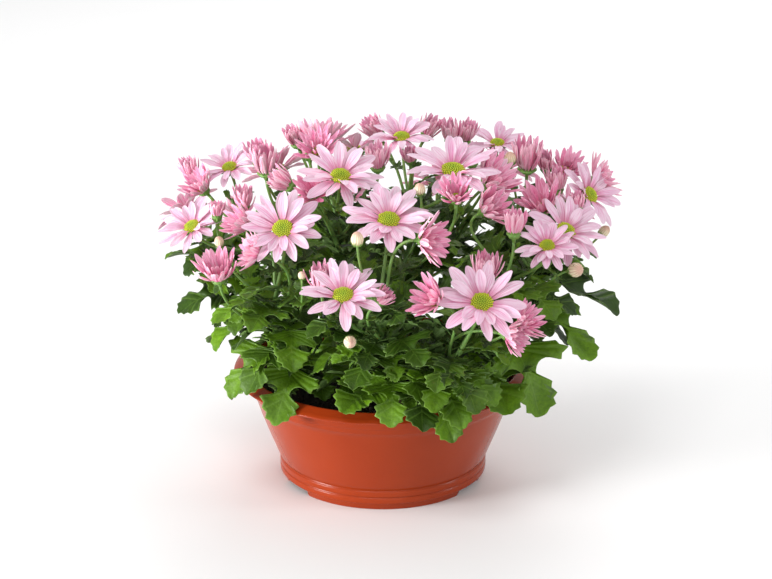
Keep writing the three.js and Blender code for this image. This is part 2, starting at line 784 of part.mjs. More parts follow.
function clearance(leaf, heads, leaves) {
  let least = Infinity;
  const curve = new THREE.QuadraticBezierCurve3(leaf.root, leaf.arch, leaf.tip);
  for (const share of LEAF_PLACES) {
    const p = curve.getPoint(share);
    least = Math.min(least, p.z - lowestAt(Math.hypot(p.x, p.y)) - LEAF_ABOVE);
    for (const head of heads) {
      const open = head.kind === 'open';
      const height = open ? BLOOM_MIDDLE : CUP_MIDDLE * head.size;
      const middle = head.base.clone().addScaledVector(head.axis, height);
      least = Math.min(least, p.distanceTo(middle) - (open ? BLOOM_REACH : CUP_REACH) * head.size);
    }
    for (const other of leaves) {
      const othersCurve = new THREE.QuadraticBezierCurve3(other.root, other.arch, other.tip);
      least = Math.min(least, p.distanceTo(othersCurve.getPoint(LEAF_HEART)) - LEAF_APART);
    }
  }
  return least;
}

// Leaves by rule: up the branch by the golden angle, kept to the branch's own side of the plant, long
// and drooping low down, shorter above. The first draw that is clear enough is taken, or else the
// clearest.
const GOLDEN_ANGLE = 137.5;
const TURN_RANGE = 70;
const FAN = 100;
const CENTRE_FAN = 150;
const CLIMB = { lowest: -42, gain: 48, range: 30 };
const TOP_SHORTER = 0.12;
const LEAF_SHORTEST = 0.9;
const LEAF_LENGTH_RANGE = 0.2;
const LEAF_ARCH = 0.3;
const CLEAR_ENOUGH = 3;
const CLEAR_MARGIN = 0.1;
const CROWDED = -9;
const ROOT_VOLUME = 3;
const ROOTED_VOLUME = 0.2;

function ruleLeaves(branch, heads, stems, ground, leaves) {
  const random = randomFrom(branch.seed);
  const outward = Math.atan2(branch.fork.y, branch.fork.x) / DEG;
  const fan = branch.plant === 'centre' ? CENTRE_FAN : FAN;
  for (let j = 0; j < branch.leafCount; j += 1) {
    const share = LOWEST_LEAF + (1 - LOWEST_LEAF) * ((j + 0.5) / branch.leafCount);
    const root = onBranch(branch, share);
    let best = null;
    for (let draw = 0; draw < LEAF_DRAWS; draw += 1) {
      const turn = ((j * GOLDEN_ANGLE + TURN_RANGE * random()) % (2 * fan)) - fan;
      const heading = (outward + turn) * DEG;
      const climb = (CLIMB.lowest + CLIMB.gain * share + CLIMB.range * (random() - 0.5)) * DEG;
      const length = LEAF_LENGTH * (1 - TOP_SHORTER * share)
        * (LEAF_SHORTEST + LEAF_LENGTH_RANGE * random());
      const tip = root.clone().add(new THREE.Vector3(
        length * Math.cos(climb) * Math.cos(heading),
        length * Math.cos(climb) * Math.sin(heading),
        length * Math.sin(climb),
      ));
      const leaf = makeLeaf(branch, root, tip, LEAF_ARCH * length);
      const crossed = leafBlade(leaf).intersect(stems).volume() - ROOT_VOLUME;
      const score = Math.min(clearance(leaf, heads, leaves), CLEAR_ENOUGH + CLEAR_MARGIN - crossed);
      const touchesGround = leafBlade(leaf, FIT_GAP).intersect(ground).volume() > 0;
      const better = !best || (best.score < CLEAR_ENOUGH && score > best.score);
      if (better && !touchesGround) best = { leaf, score };
    }
    if (best && best.score > CROWDED) leaves.push(best.leaf);
  }
}

// Putting it together

const MATERIALS = {
  terracotta: new THREE.MeshStandardMaterial({ color: 0xb5532f, roughness: 0.38, metalness: 0 }),
  soil: new THREE.MeshStandardMaterial({ color: 0x1c1410, roughness: 1, metalness: 0 }),
  leaf: new THREE.MeshStandardMaterial({ color: 0x3f7424, roughness: 0.6, metalness: 0 }),
  petal: new THREE.MeshStandardMaterial({ color: 0xe9b9d6, roughness: 0.6, metalness: 0 }),
  disc: new THREE.MeshStandardMaterial({ color: 0xa6bd1e, roughness: 0.8, metalness: 0 }),
};

function meshOf(name, made, material) {
  const { numProp, vertProperties, triVerts } = made.getMesh();
  const places = new Float32Array((vertProperties.length / numProp) * 3);
  for (let i = 0; i * numProp < vertProperties.length; i += 1) {
    places.set(vertProperties.subarray(i * numProp, i * numProp + 3), 3 * i);
  }
  const geometry = new THREE.BufferGeometry();
  geometry.setAttribute('position', new THREE.BufferAttribute(places, 3));
  geometry.setIndex(new THREE.BufferAttribute(new Uint32Array(triVerts), 1));
  const mesh = new THREE.Mesh(geometry, material);
  mesh.name = name;
  return mesh;
}

function boxesMeet(a, b) {
  const [one, two] = [a.boundingBox(), b.boundingBox()];
  return [0, 1, 2].every((k) => one.min[k] < two.max[k] && two.min[k] < one.max[k]);
}

function clearOf(made, others) {
  let left = made;
  for (const other of others) {
    if (boxesMeet(left, other)) left = left.subtract(other);
  }
  return left;
}

function largest(made) {
  const bodies = made.decompose();
  bodies.sort((a, b) => b.volume() - a.volume());
  return bodies[0];
}

// Pink solids that run into each other become one, and one that only grazes another is cut clear.
const GRAZE = 0.3;

function joinTouching(pieces) {
  const groups = [];
  for (const piece of pieces) {
    let { made } = piece;
    const met = groups.filter((group) => group.made.intersect(made).volume() > GRAZE);
    for (const group of groups) {
      if (!met.includes(group)) made = clearOf(made, group.thick);
    }
    const joined = { names: [piece.name], made: largest(made), thick: [piece.thick] };
    for (const group of met) {
      joined.names.unshift(...group.names);
      joined.thick.push(...group.thick);
      joined.made = joined.made.add(group.made);
      groups.splice(groups.indexOf(group), 1);
    }
    groups.push(joined);
  }
  return groups;
}

const branches = Object.entries(PLANTS).flatMap(([plant, { root, branches: rows }]) => (
  Object.entries(rows).map(([name, row]) => ({ plant, root, name, row }))))
  .map(({ plant, root, name, row }, index) => branchOf(plant, root, name, row, index));
const plants = Object.entries(PLANTS).map(([name, { root }]) => (
  { name, root, branches: branches.filter((branch) => branch.plant === name) }));
const allHeads = branches.flatMap((branch) => branch.heads);

const leaves = PLACED_LEAVES.map(([name, share, x, y, z, lift]) => {
  const branch = branches.find((one) => one.name === name);
  return makeLeaf(branch, onBranch(branch, share), new THREE.Vector3(x, y, z), lift);
});
const skeletons = plants.map((plant) => skeleton(plant.branches));
const thickSkeletons = plants.map((plant) => skeleton(plant.branches, FIT_GAP));
const bowlSolid = bowl();
const soilSolid = soil(plants.map((plant) => plant.root));
const stems = wasm.Manifold.union(skeletons);
const ground = bowlSolid.add(soilSolid);
for (const branch of branches) ruleLeaves(branch, allHeads, stems, ground, leaves);

const group = new THREE.Group();
group.add(meshOf('bowl', bowlSolid, MATERIALS.terracotta));
group.add(meshOf('soil', soilSolid, MATERIALS.soil));

const pinkHeads = allHeads.filter((head) => head.kind !== 'bud');
const thickPinks = new Map(pinkHeads.map((head) => [head, pinkOf(head, FIT_GAP)]));
const pieces = pinkHeads.map((head) => (
  { name: head.name, made: clearOf(pinkOf(head), thickSkeletons), thick: thickPinks.get(head) }));
for (const joined of joinTouching(pieces)) {
  const made = largest(largest(joined.made).simplify(TIDY));
  group.add(meshOf(`petals_${joined.names[0]}`, made, MATERIALS.petal));
}

const thickDiscs = [];
for (const head of allHeads.filter((one) => one.ownDisc)) {
  const radius = hubRadius(head) - HUB_EDGE;
  const lift = BLADE / 2 + FIT_GAP;
  const others = pinkHeads.filter((other) => other !== head).map((other) => thickPinks.get(other));
  const made = clearOf(disc(head, radius, lift, DISC_SIDES, 0), [...thickSkeletons, ...others]);
  group.add(meshOf(`disc_${head.name}`, largest(made).simplify(TIDY), MATERIALS.disc));
  thickDiscs.push(disc(head, radius, lift, DISC_SIDES, FIT_GAP));
}

const thickLeaves = [];
plants.forEach((plant, index) => {
  const otherSkeletons = thickSkeletons.filter((_, i) => i !== index);
  const obstacles = [...otherSkeletons, ...thickPinks.values(), ...thickDiscs];
  let green = skeletons[index];
  const own = leaves.filter((leaf) => plant.branches.includes(leaf.branch));
  const others = [...thickLeaves];
  for (const leaf of own) {
    const left = clearOf(leafBlade(leaf), [...obstacles, ...others]);
    for (const body of left.decompose()) {
      if (body.intersect(skeletons[index]).volume() > ROOTED_VOLUME) green = green.add(body);
    }
    thickLeaves.push(leafBlade(leaf, FIT_GAP));
  }
  group.add(meshOf(`leafy_stem_${plant.name}`, largest(green).simplify(TIDY), MATERIALS.leaf));
});

export default group;
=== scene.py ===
import bpy
import numpy as np
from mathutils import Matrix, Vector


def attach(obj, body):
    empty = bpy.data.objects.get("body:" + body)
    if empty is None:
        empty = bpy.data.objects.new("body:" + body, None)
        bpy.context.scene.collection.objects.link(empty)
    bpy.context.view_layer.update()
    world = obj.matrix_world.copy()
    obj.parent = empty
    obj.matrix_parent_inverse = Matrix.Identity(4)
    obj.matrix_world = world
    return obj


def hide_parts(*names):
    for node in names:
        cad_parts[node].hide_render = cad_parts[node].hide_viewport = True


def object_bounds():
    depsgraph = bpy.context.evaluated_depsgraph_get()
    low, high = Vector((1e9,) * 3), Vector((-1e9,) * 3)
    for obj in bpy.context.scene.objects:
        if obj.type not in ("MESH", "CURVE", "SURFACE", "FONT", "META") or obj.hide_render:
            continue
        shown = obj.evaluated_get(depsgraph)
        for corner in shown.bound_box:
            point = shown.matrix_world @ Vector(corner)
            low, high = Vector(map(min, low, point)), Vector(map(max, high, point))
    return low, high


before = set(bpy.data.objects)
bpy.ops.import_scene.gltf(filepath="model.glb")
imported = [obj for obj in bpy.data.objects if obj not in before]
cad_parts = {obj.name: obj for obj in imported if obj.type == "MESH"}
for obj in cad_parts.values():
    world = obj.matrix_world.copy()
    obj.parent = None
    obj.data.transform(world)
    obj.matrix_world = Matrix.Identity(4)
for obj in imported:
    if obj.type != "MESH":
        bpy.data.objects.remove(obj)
cad_box = [list(corner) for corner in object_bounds()]


# The view
# The plant is seen from the front and a little above, in soft light from large panels,
# on a plain pale floor.

CAMERA_PLACE = (0.0, -1.8333, 0.7994)
CAMERA_TILT = 19.53
CAMERA_LENS = 118.7
CAMERA_SHIFT = 3 / 772
SENSOR_WIDTH = 36.0
FAR_AWAY = 20.0


def add_camera():
    data = bpy.data.cameras.new("camera")
    data.lens = CAMERA_LENS
    data.sensor_width = SENSOR_WIDTH
    data.shift_x = CAMERA_SHIFT
    data.clip_end = FAR_AWAY
    camera = bpy.data.objects.new("camera", data)
    camera.location = CAMERA_PLACE
    camera.rotation_euler = (np.radians(90.0 - CAMERA_TILT), 0.0, 0.0)
    bpy.context.scene.collection.objects.link(camera)
    bpy.context.scene.camera = camera


def add_panel(name, place, aim, size, watts):
    """A square soft light at place that looks at aim."""
    data = bpy.data.lights.new(name, "AREA")
    data.energy = watts
    data.size = size
    panel = bpy.data.objects.new(name, data)
    away = np.array(place) - np.array(aim)
    across = np.hypot(away[0], away[1])
    panel.location = place
    panel.rotation_euler = (np.arctan2(across, away[2]), 0.0, np.arctan2(away[0], -away[1]))
    bpy.context.scene.collection.objects.link(panel)


add_camera()
add_panel("panel_left", (-2.3, -1.0, 0.45), (0.0, 0.0, 0.12), 0.9, 62.0)
add_panel("panel_low", (-1.3, -0.6, 0.12), (0.0, 0.0, 0.04), 0.3, 9.0)
add_panel("panel_top", (-0.5, -1.3, 2.2), (0.0, 0.0, 0.2), 0.8, 16.0)
add_panel("panel_front", (0.5, -2.8, 1.0), (0.0, 0.0, 0.17), 1.4, 11.0)
add_panel("panel_right", (2.0, -0.4, 0.9), (0.0, 0.0, 0.12), 0.35, 9.0)
add_panel("panel_back", (0.3, 1.6, 1.7), (0.0, 0.0, 0.18), 1.2, 20.0)

world = bpy.data.worlds.new("studio")
world.use_nodes = True
world.node_tree.nodes["Background"].inputs["Color"].default_value = (1.0, 1.0, 1.0, 1.0)
world.node_tree.nodes["Background"].inputs["Strength"].default_value = 0.58
bpy.context.scene.world = world
bpy.context.scene.view_settings.view_transform = "Standard"


# The floor
# A sheet of plain pale paper, far wider than the plant. It lies flat and the bowl stands on it.

FLOOR_HALF = 4.0


def add_mesh(name, points, faces, material, maps=None):
    """A mesh object from an array of points and a list of face arrays (each n by 3 or n by 4).
    maps holds named UV layers, each as one (u, v) per point."""
    mesh = bpy.data.meshes.new(name)
    counts = np.concatenate([np.full(len(group), group.shape[1]) for group in faces])
    corners = np.concatenate([group.reshape(-1) for group in faces]).astype(np.int32)
    mesh.vertices.add(len(points))
    mesh.vertices.foreach_set("co", np.asarray(points, np.float32).reshape(-1))
    mesh.loops.add(len(corners))
    mesh.loops.foreach_set("vertex_index", corners)
    mesh.polygons.add(len(counts))
    starts = np.concatenate([[0], np.cumsum(counts)[:-1]]).astype(np.int32)
    mesh.polygons.foreach_set("loop_start", starts)
    mesh.polygons.foreach_set("use_smooth", np.ones(len(counts), bool))
    for layer, values in (maps or {}).items():
        uv = mesh.uv_layers.new(name=layer)
        uv.data.foreach_set("uv", np.asarray(values, np.float32)[corners].reshape(-1))
    mesh.materials.append(material)
    mesh.update(calc_edges=True)
    mesh.validate()
    piece = bpy.data.objects.new(name, mesh)
    bpy.context.scene.collection.objects.link(piece)
    return piece


class Finish:
    """A material under way: its node tree, its shader, and short ways to add nodes."""

    def __init__(self, name, roughness, **settings):
        self.material = bpy.data.materials.new(name)
        self.material.use_nodes = True
        self.tree = self.material.node_tree
        self.shader = self.tree.nodes["Principled BSDF"]
        self.shader.inputs["Roughness"].default_value = roughness
        for socket, value in settings.items():
            self.shader.inputs[socket.replace("_", " ")].default_value = value
        self.place = self.tree.nodes.new("ShaderNodeTexCoord").outputs["Object"]

    def node(self, kind, inputs=None, **settings):
        made = self.tree.nodes.new(kind)
        for key, value in settings.items():
            setattr(made, key, value)
        for socket, value in (inputs or {}).items():
            self.feed(made.inputs[socket], value)
        return made

    def feed(self, socket, value):
        if isinstance(value, bpy.types.NodeSocket):
            self.tree.links.new(value, socket)
        elif socket.type == "RGBA":
            socket.default_value = (*value, 1.0)
        else:
            socket.default_value = value

    def noise(self, scale, detail=3.0, place=None):
        inputs = {"Vector": place or self.place, "Scale": scale, "Detail": detail}
        return self.node("ShaderNodeTexNoise", inputs).outputs["Fac"]

    def math(self, operation, *values):
        made = self.node("ShaderNodeMath", dict(enumerate(values)), operation=operation)
        return made.outputs[0]

    def away(self, value, middle):
        """How far a value is from a middle one."""
        return self.math("ABSOLUTE", self.math("SUBTRACT", value, middle))

    def ramp(self, value, low, high, bottom=0.0, top=1.0):
        inputs = {"Value": value, "From Min": low, "From Max": high, "To Min": bottom, "To Max": top}
        return self.node("ShaderNodeMapRange", inputs, clamp=True).outputs[0]

    def mix(self, share, first, second):
        inputs = {0: share, 6: first, 7: second}
        return self.node("ShaderNodeMix", inputs, data_type="RGBA").outputs[2]

    def layer(self, name):
        """The two coordinates of a UV layer of the mesh."""
        uv = self.node("ShaderNodeUVMap", uv_map=name).outputs[0]
        split = self.node("ShaderNodeSeparateXYZ", {0: uv})
        return split.outputs[0], split.outputs[1]

    def stretched(self, place, scale):
        return self.node("ShaderNodeMapping", {"Vector": place, "Scale": scale}).outputs[0]

    def bump(self, height, strength, distance):
        inputs = {"Height": height, "Strength": strength, "Distance": distance}
        self.feed(self.shader.inputs["Normal"], self.node("ShaderNodeBump", inputs).outputs[0])

    def colour(self, value):
        self.feed(self.shader.inputs["Base Color"], value)


def floor_finish():
    finish = Finish("floor_paper", 0.9)
    finish.colour((0.86, 0.86, 0.86))
    return finish.material


corner_signs = np.array([[-1, -1, 0], [1, -1, 0], [1, 1, 0], [-1, 1, 0]], float)
floor = add_mesh("floor", corner_signs * FLOOR_HALF, [np.array([[0, 1, 2, 3]])], floor_finish())


# The bowl
# One moulding in terracotta-coloured plastic: a foot ring with three drainage notches, two raised
# bands, a flaring wall, a collar in two steps and a broad sloping rim. The floor has five holes.

MM = 0.001
TURN = 2.0 * np.pi
RIM_RADIUS = 115.0
BOWL_HEIGHT = 90.0
RIM_INNER_RADIUS = 104.5
FOOT_RADIUS = 76.8
BAND_RADIUS = 80.2
WALL = 2.2
BOWL_ROUND = 228
NOTCH_TOP = 5.4
NOTCH_SPREAD = np.radians(22.0)
NOTCH_SLOPE = np.radians(3.0)
FLOOR_LOW = 10.0
DRAIN_HOLES = 5
DRAIN_RADIUS = 4.0
DRAIN_CIRCLE = 48.0
FLOOR_RADIUS = 77.4
HOLE_ROUND = 60
PLATE_SHARES = [0.0, 0.15, 0.5, 1.0]

OUTSIDE_LINE = [
    (FOOT_RADIUS - 1.6, 0.0), (FOOT_RADIUS - 0.4, 0.0), (FOOT_RADIUS, 0.5), (FOOT_RADIUS + 0.5, 4.6),
    (FOOT_RADIUS + 0.9, 5.2), (BAND_RADIUS - 0.7, 5.4), (BAND_RADIUS - 0.1, 5.9), (BAND_RADIUS, 7.0),
    (BAND_RADIUS, 9.6), (BAND_RADIUS - 0.2, 10.2), (BAND_RADIUS - 1.4, 10.7), (BAND_RADIUS - 0.2, 11.2),
    (BAND_RADIUS, 11.8), (BAND_RADIUS, 14.9), (BAND_RADIUS - 0.2, 15.6), (BAND_RADIUS - 1.5, 16.1),
    (79.7, 16.9), (81.2, 20.0), (83.3, 25.0), (88.9, 39.0), (94.6, 54.0), (98.6, 66.5), (99.9, 70.2),
    (100.5, 70.7), (101.3, 70.9), (101.6, 71.5), (102.0, 74.8), (102.1, 75.3), (102.7, 75.5),
    (102.9, 76.0), (103.3, 79.9), (103.8, 80.9), (112.9, 84.0), (114.4, 84.4), (RIM_RADIUS, 85.0),
    (RIM_RADIUS - 0.3, 85.7), (110.6, 87.2), (110.0, 87.5), (105.8, 89.6), (105.1, BOWL_HEIGHT),
    (RIM_INNER_RADIUS, BOWL_HEIGHT), (103.9, 89.6), (103.4, 88.2),
]
INSIDE_LINE = [
    (101.2, 80.5), (99.0, 70.8), (96.5, 66.5), (92.4, 54.0), (86.7, 39.0), (81.1, 25.0), (77.6, 16.9),
    (76.8, FLOOR_LOW + WALL), (76.2, FLOOR_LOW), (75.2, 1.0), (75.2, 0.0),
]


def grid_quads(rows, columns, around):
    """Quads of a grid whose point (r, c) has number r * columns + c. With around, the last column
    joins the first."""
    row = columns * np.arange(rows - 1)[:, None]
    c = np.arange(columns if around else columns - 1)[None, :]
    right = (c + 1) % columns
    quads = np.stack([row + c, row + right, row + columns + right, row + columns + c], -1)
    return quads.reshape(-1, 4)


def repeated(faces, count, each):
    """The same faces for so many pieces, each with its own so many points."""
    return (faces[None] + each * np.arange(count)[:, None, None]).reshape(-1, faces.shape[1])


def turned(line, sides):
    """The line (radius, height) carried round the upright axis:
    x = radius sin(angle), y = -radius cos(angle)."""
    angle = TURN * np.arange(sides) / sides
    x = line[:, :1] * np.sin(angle)
    y = -line[:, :1] * np.cos(angle)
    z = np.broadcast_to(line[:, 1:], x.shape)
    return np.stack([x, y, z], -1), angle


def bowl_wall():
    """The closed line outside and inside, turned. In a notch the height is no lower than its top,
    with sloping sides: lift = top * clamp((half spread - distance from middle) / slope + 0.5)."""
    line = np.array(OUTSIDE_LINE + INSIDE_LINE)
    points, angle = turned(line, BOWL_ROUND)
    from_notch = np.abs((angle - np.pi + TURN / 6) % (TURN / 3) - TURN / 6)
    lift = NOTCH_TOP * np.clip((NOTCH_SPREAD / 2 - from_notch) / NOTCH_SLOPE + 0.5, 0.0, 1.0)
    points[..., 2] = np.maximum(points[..., 2], lift[None, :])
    closed = np.concatenate([points, points[:1]])
    quads = grid_quads(len(closed), BOWL_ROUND, True) % (len(points) * BOWL_ROUND)
    return points.reshape(-1, 3), quads


def bowl_floor():
    """A plate in five equal sectors. Round each sector's hole, a point lies a share of the way
    from the hole's edge to the sector's edge in the same direction."""
    half = np.pi / DRAIN_HOLES
    direction = TURN * np.arange(HOLE_ROUND) / HOLE_ROUND
    run = np.stack([np.cos(direction), np.sin(direction)], -1)
    side = np.stack([[np.sin(half), -np.cos(half)], [np.sin(half), np.cos(half)]])
    centre = np.array([DRAIN_CIRCLE, 0.0])
    towards = -run @ side.T
    with np.errstate(divide="ignore"):
        to_sides = np.where(towards > 0.0, (side @ centre) / towards, np.inf).min(1)
    along = run @ centre
    to_rim = -along + np.sqrt(along**2 - DRAIN_CIRCLE**2 + FLOOR_RADIUS**2)
    reach = np.minimum(to_sides, to_rim)
    share = np.array(PLATE_SHARES)[:, None]
    distance = DRAIN_RADIUS * (1 - share) + reach * share
    flat = centre + distance[..., None] * run
    height = np.ones((*flat.shape[:2], 1))
    upper = np.concatenate([flat[::-1], (FLOOR_LOW + WALL) * height], -1)
    lower = np.concatenate([flat, FLOOR_LOW * height], -1)
    sector = np.concatenate([upper, lower])
    points = []
    for k in range(DRAIN_HOLES):
        turn = TURN * k / DRAIN_HOLES
        spin = np.array([[np.cos(turn), np.sin(turn), 0], [-np.sin(turn), np.cos(turn), 0], [0, 0, 1]])
        points.append((sector @ spin).reshape(-1, 3))
    quads = grid_quads(len(sector), HOLE_ROUND, True)
    return np.concatenate(points), repeated(quads, DRAIN_HOLES, len(sector) * HOLE_ROUND)


def bowl_finish():
    finish = Finish("terracotta_plastic", 0.3, Specular_IOR_Level=0.22)
    cloud = finish.noise(9.0, 4.0)
    fine = finish.noise(420.0, 2.0)
    base = finish.mix(finish.ramp(cloud, 0.3, 0.7), (0.258, 0.027, 0.004), (0.32, 0.038, 0.006))
    finish.colour(finish.mix(finish.ramp(fine, 0.55, 0.8, 0.0, 0.22), base, (0.22, 0.027, 0.006)))
    gloss = finish.ramp(finish.noise(30.0, 5.0), 0.3, 0.7, 0.2, 0.27)
    finish.feed(finish.shader.inputs["Roughness"], gloss)
    finish.bump(fine, 0.12, 0.0002)
    return finish.material


wall_points, wall_quads = bowl_wall()
plate_points, plate_quads = bowl_floor()
bowl_points = np.concatenate([wall_points, plate_points]) * MM
bowl_quads = np.concatenate([wall_quads, plate_quads + len(wall_points)])
bowl = add_mesh("bowl_moulding", bowl_points, [bowl_quads], bowl_finish())
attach(bowl, "root")
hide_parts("bowl")


# The soil
# Dark, crumbly potting mix, heaped a little towards the middle and pressed against the bowl's wall.

SOIL_TOP = 78.0
SOIL_RADIUS = 97.5
SOIL_FOOT = 76.6
SOIL_LOW = 12.6
SOIL_RINGS = 50
SOIL_ROUND = 144
INNERMOST = 1e-4
POLE_RING = 0.01
CRUMBS = 760
CRUMB_SMALLEST = 1.2
CRUMB_LARGEST = 3.6
CRUMB_ROUGH = 0.45
CRUMB_SHOWING = 0.15
CRUMBS_FROM_WALL = 3.0


def soil_height(x, y):
    """Height of the soil's surface: level, lower towards the wall, with three sizes of ripple."""
    out = np.hypot(x, y) / SOIL_RADIUS
    slow = np.sin(0.071 * x + 1.0) * np.cos(0.083 * y)
    middle = np.sin(0.31 * x + 0.9 * np.sin(0.22 * y)) * np.sin(0.27 * y + 0.7 * np.sin(0.25 * x))
    quick = np.sin(0.93 * x + 1.7 * np.sin(0.61 * y)) * np.sin(0.88 * y + 1.9 * np.sin(0.57 * x))
    return SOIL_TOP - 0.6 - 3.0 * out**6 + 0.7 * slow + 0.6 * middle + 0.35 * quick


def soil_body():
    """Rings from the middle outwards over the top, then down the wall and back in underneath."""
    ring = SOIL_RADIUS * np.sqrt(np.linspace(INNERMOST, 1.0, SOIL_RINGS))
    angle = TURN * np.arange(SOIL_ROUND) / SOIL_ROUND
    x, y = ring[:, None] * np.sin(angle), -ring[:, None] * np.cos(angle)
    top = np.stack([x, y, soil_height(x, y)], -1)
    foot = np.array([[SOIL_FOOT, SOIL_LOW], [POLE_RING, SOIL_LOW]])
    under, _ = turned(foot, SOIL_ROUND)
    points = np.concatenate([top, under])
    middle_top = np.array([[0.0, 0.0, soil_height(0.0, 0.0)]])
    middle_low = np.array([[0.0, 0.0, SOIL_LOW]])
    count = points.shape[0] * SOIL_ROUND
    k = np.arange(SOIL_ROUND)
    nearest = np.stack([np.full(SOIL_ROUND, count), k, (k + 1) % SOIL_ROUND], -1)
    last = count - SOIL_ROUND
    furthest = np.stack([np.full(SOIL_ROUND, count + 1), last + (k + 1) % SOIL_ROUND, last + k], -1)
    quads = grid_quads(len(points), SOIL_ROUND, True)[:, ::-1]
    points = np.concatenate([points.reshape(-1, 3), middle_top, middle_low])
    return points, quads, np.concatenate([nearest, furthest])


def lumps(centres, sizes, draw):
    """Rough little lumps: an eight-cornered cube whose corners are pushed about, on each centre."""
    corner = np.array([[a, b, c] for a in (-1, 1) for b in (-1, 1) for c in (-1, 1)], float)
    shape = corner + draw.uniform(-CRUMB_ROUGH, CRUMB_ROUGH, (len(centres), 8, 3))
    points = centres[:, None] + shape * (0.5 * sizes[:, None])[..., None]
    faces = np.array([[0, 1, 3, 2], [4, 6, 7, 5], [0, 4, 5, 1], [2, 3, 7, 6], [0, 2, 6, 4], [1, 5, 7, 3]])
    return points.reshape(-1, 3), repeated(faces, len(centres), len(corner))


def soil_finish():
    finish = Finish("potting_mix", 0.95)
    grain = finish.noise(320.0, 6.0)
    clod = finish.noise(60.0, 3.0)
    dark = finish.mix(finish.ramp(clod, 0.35, 0.65), (0.012, 0.008, 0.006), (0.035, 0.022, 0.014))
    finish.colour(finish.mix(finish.ramp(grain, 0.62, 0.75), dark, (0.11, 0.07, 0.04)))
    finish.bump(grain, 0.8, 0.001)
    return finish.material


draw = np.random.default_rng(11)
body_points, body_quads, body_fans = soil_body()
crumb_angle = draw.uniform(0.0, TURN, CRUMBS)
crumb_out = (SOIL_RADIUS - CRUMBS_FROM_WALL) * np.sqrt(draw.uniform(0.0, 1.0, CRUMBS))
crumb_x, crumb_y = crumb_out * np.sin(crumb_angle), -crumb_out * np.cos(crumb_angle)
crumb_size = draw.uniform(CRUMB_SMALLEST, CRUMB_LARGEST, CRUMBS)
crumb_z = soil_height(crumb_x, crumb_y) + CRUMB_SHOWING * crumb_size
crumb_centres = np.stack([crumb_x, crumb_y, crumb_z], -1)
crumb_points, crumb_quads = lumps(crumb_centres, crumb_size, draw)
soil_points = np.concatenate([body_points, crumb_points]) * MM
soil_faces = [body_quads, crumb_quads + len(body_points), body_fans]
soil = add_mesh("soil_fill", soil_points, soil_faces, soil_finish())
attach(soil, "root")
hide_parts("soil")


# The stems
# Five rooted plants, each pinched into two branches. Stalks leave a branch one above another and
# end under a head. Living stems: ridged, pale green, browner and thicker at the foot.

STEM_RADIUS = 2.9
STEM_ROUND = 10
STEM_STEPS = 34
STALK_ROUND = 8
STALK_STEPS = 24
STEM_RIDGE = 0.07
RIDGES = 5
NEARLY_UP = (0.31, 0.17, 0.93)
CLOSED_END = 0.02
ROOT_DEPTH = 12.0
COLLAR_ABOVE_SOIL = 6.0
FORK_TO_ROOT = 0.3
FORK_TO_HEADS = 0.7
FORK_BELOW_HEADS = 42.0
BRANCH_RISE = 8.0
BRANCH_SPANS = 3
STALK_HIGHEST = 0.96
STALK_RANGE = 0.5
STALK_LEAN = 0.9
STALK_PULLS = (0.3, 0.38)
HALF_SINK = 0.35
PETAL_UNDERSIDE = -0.65
CALYX_HEIGHT = 6.0
BUD_FOOT = 1.5
BRANCH_SEED = 1000
HEAD_SEED = 17
LEAF_SEED = 77
UP = np.array([0.0, 0.0, 1.0])

# Radii of a trunk, of the stalk that goes on from it and of the others, at shares of their lengths.
TRUNK_RADII = ([0.0, 0.12, 0.5, 1.0], [STEM_RADIUS, 2.8, 2.3, 1.7])
LEAD_RADII = ([0.0, 0.3, 0.9, 1.0], [1.7, 1.4, 1.1, 1.4])
STALK_RADII = ([0.0, 0.1, 0.9, 1.0], [1.7, 1.25, 1.05, 1.3])
BUD_STALK = 0.75

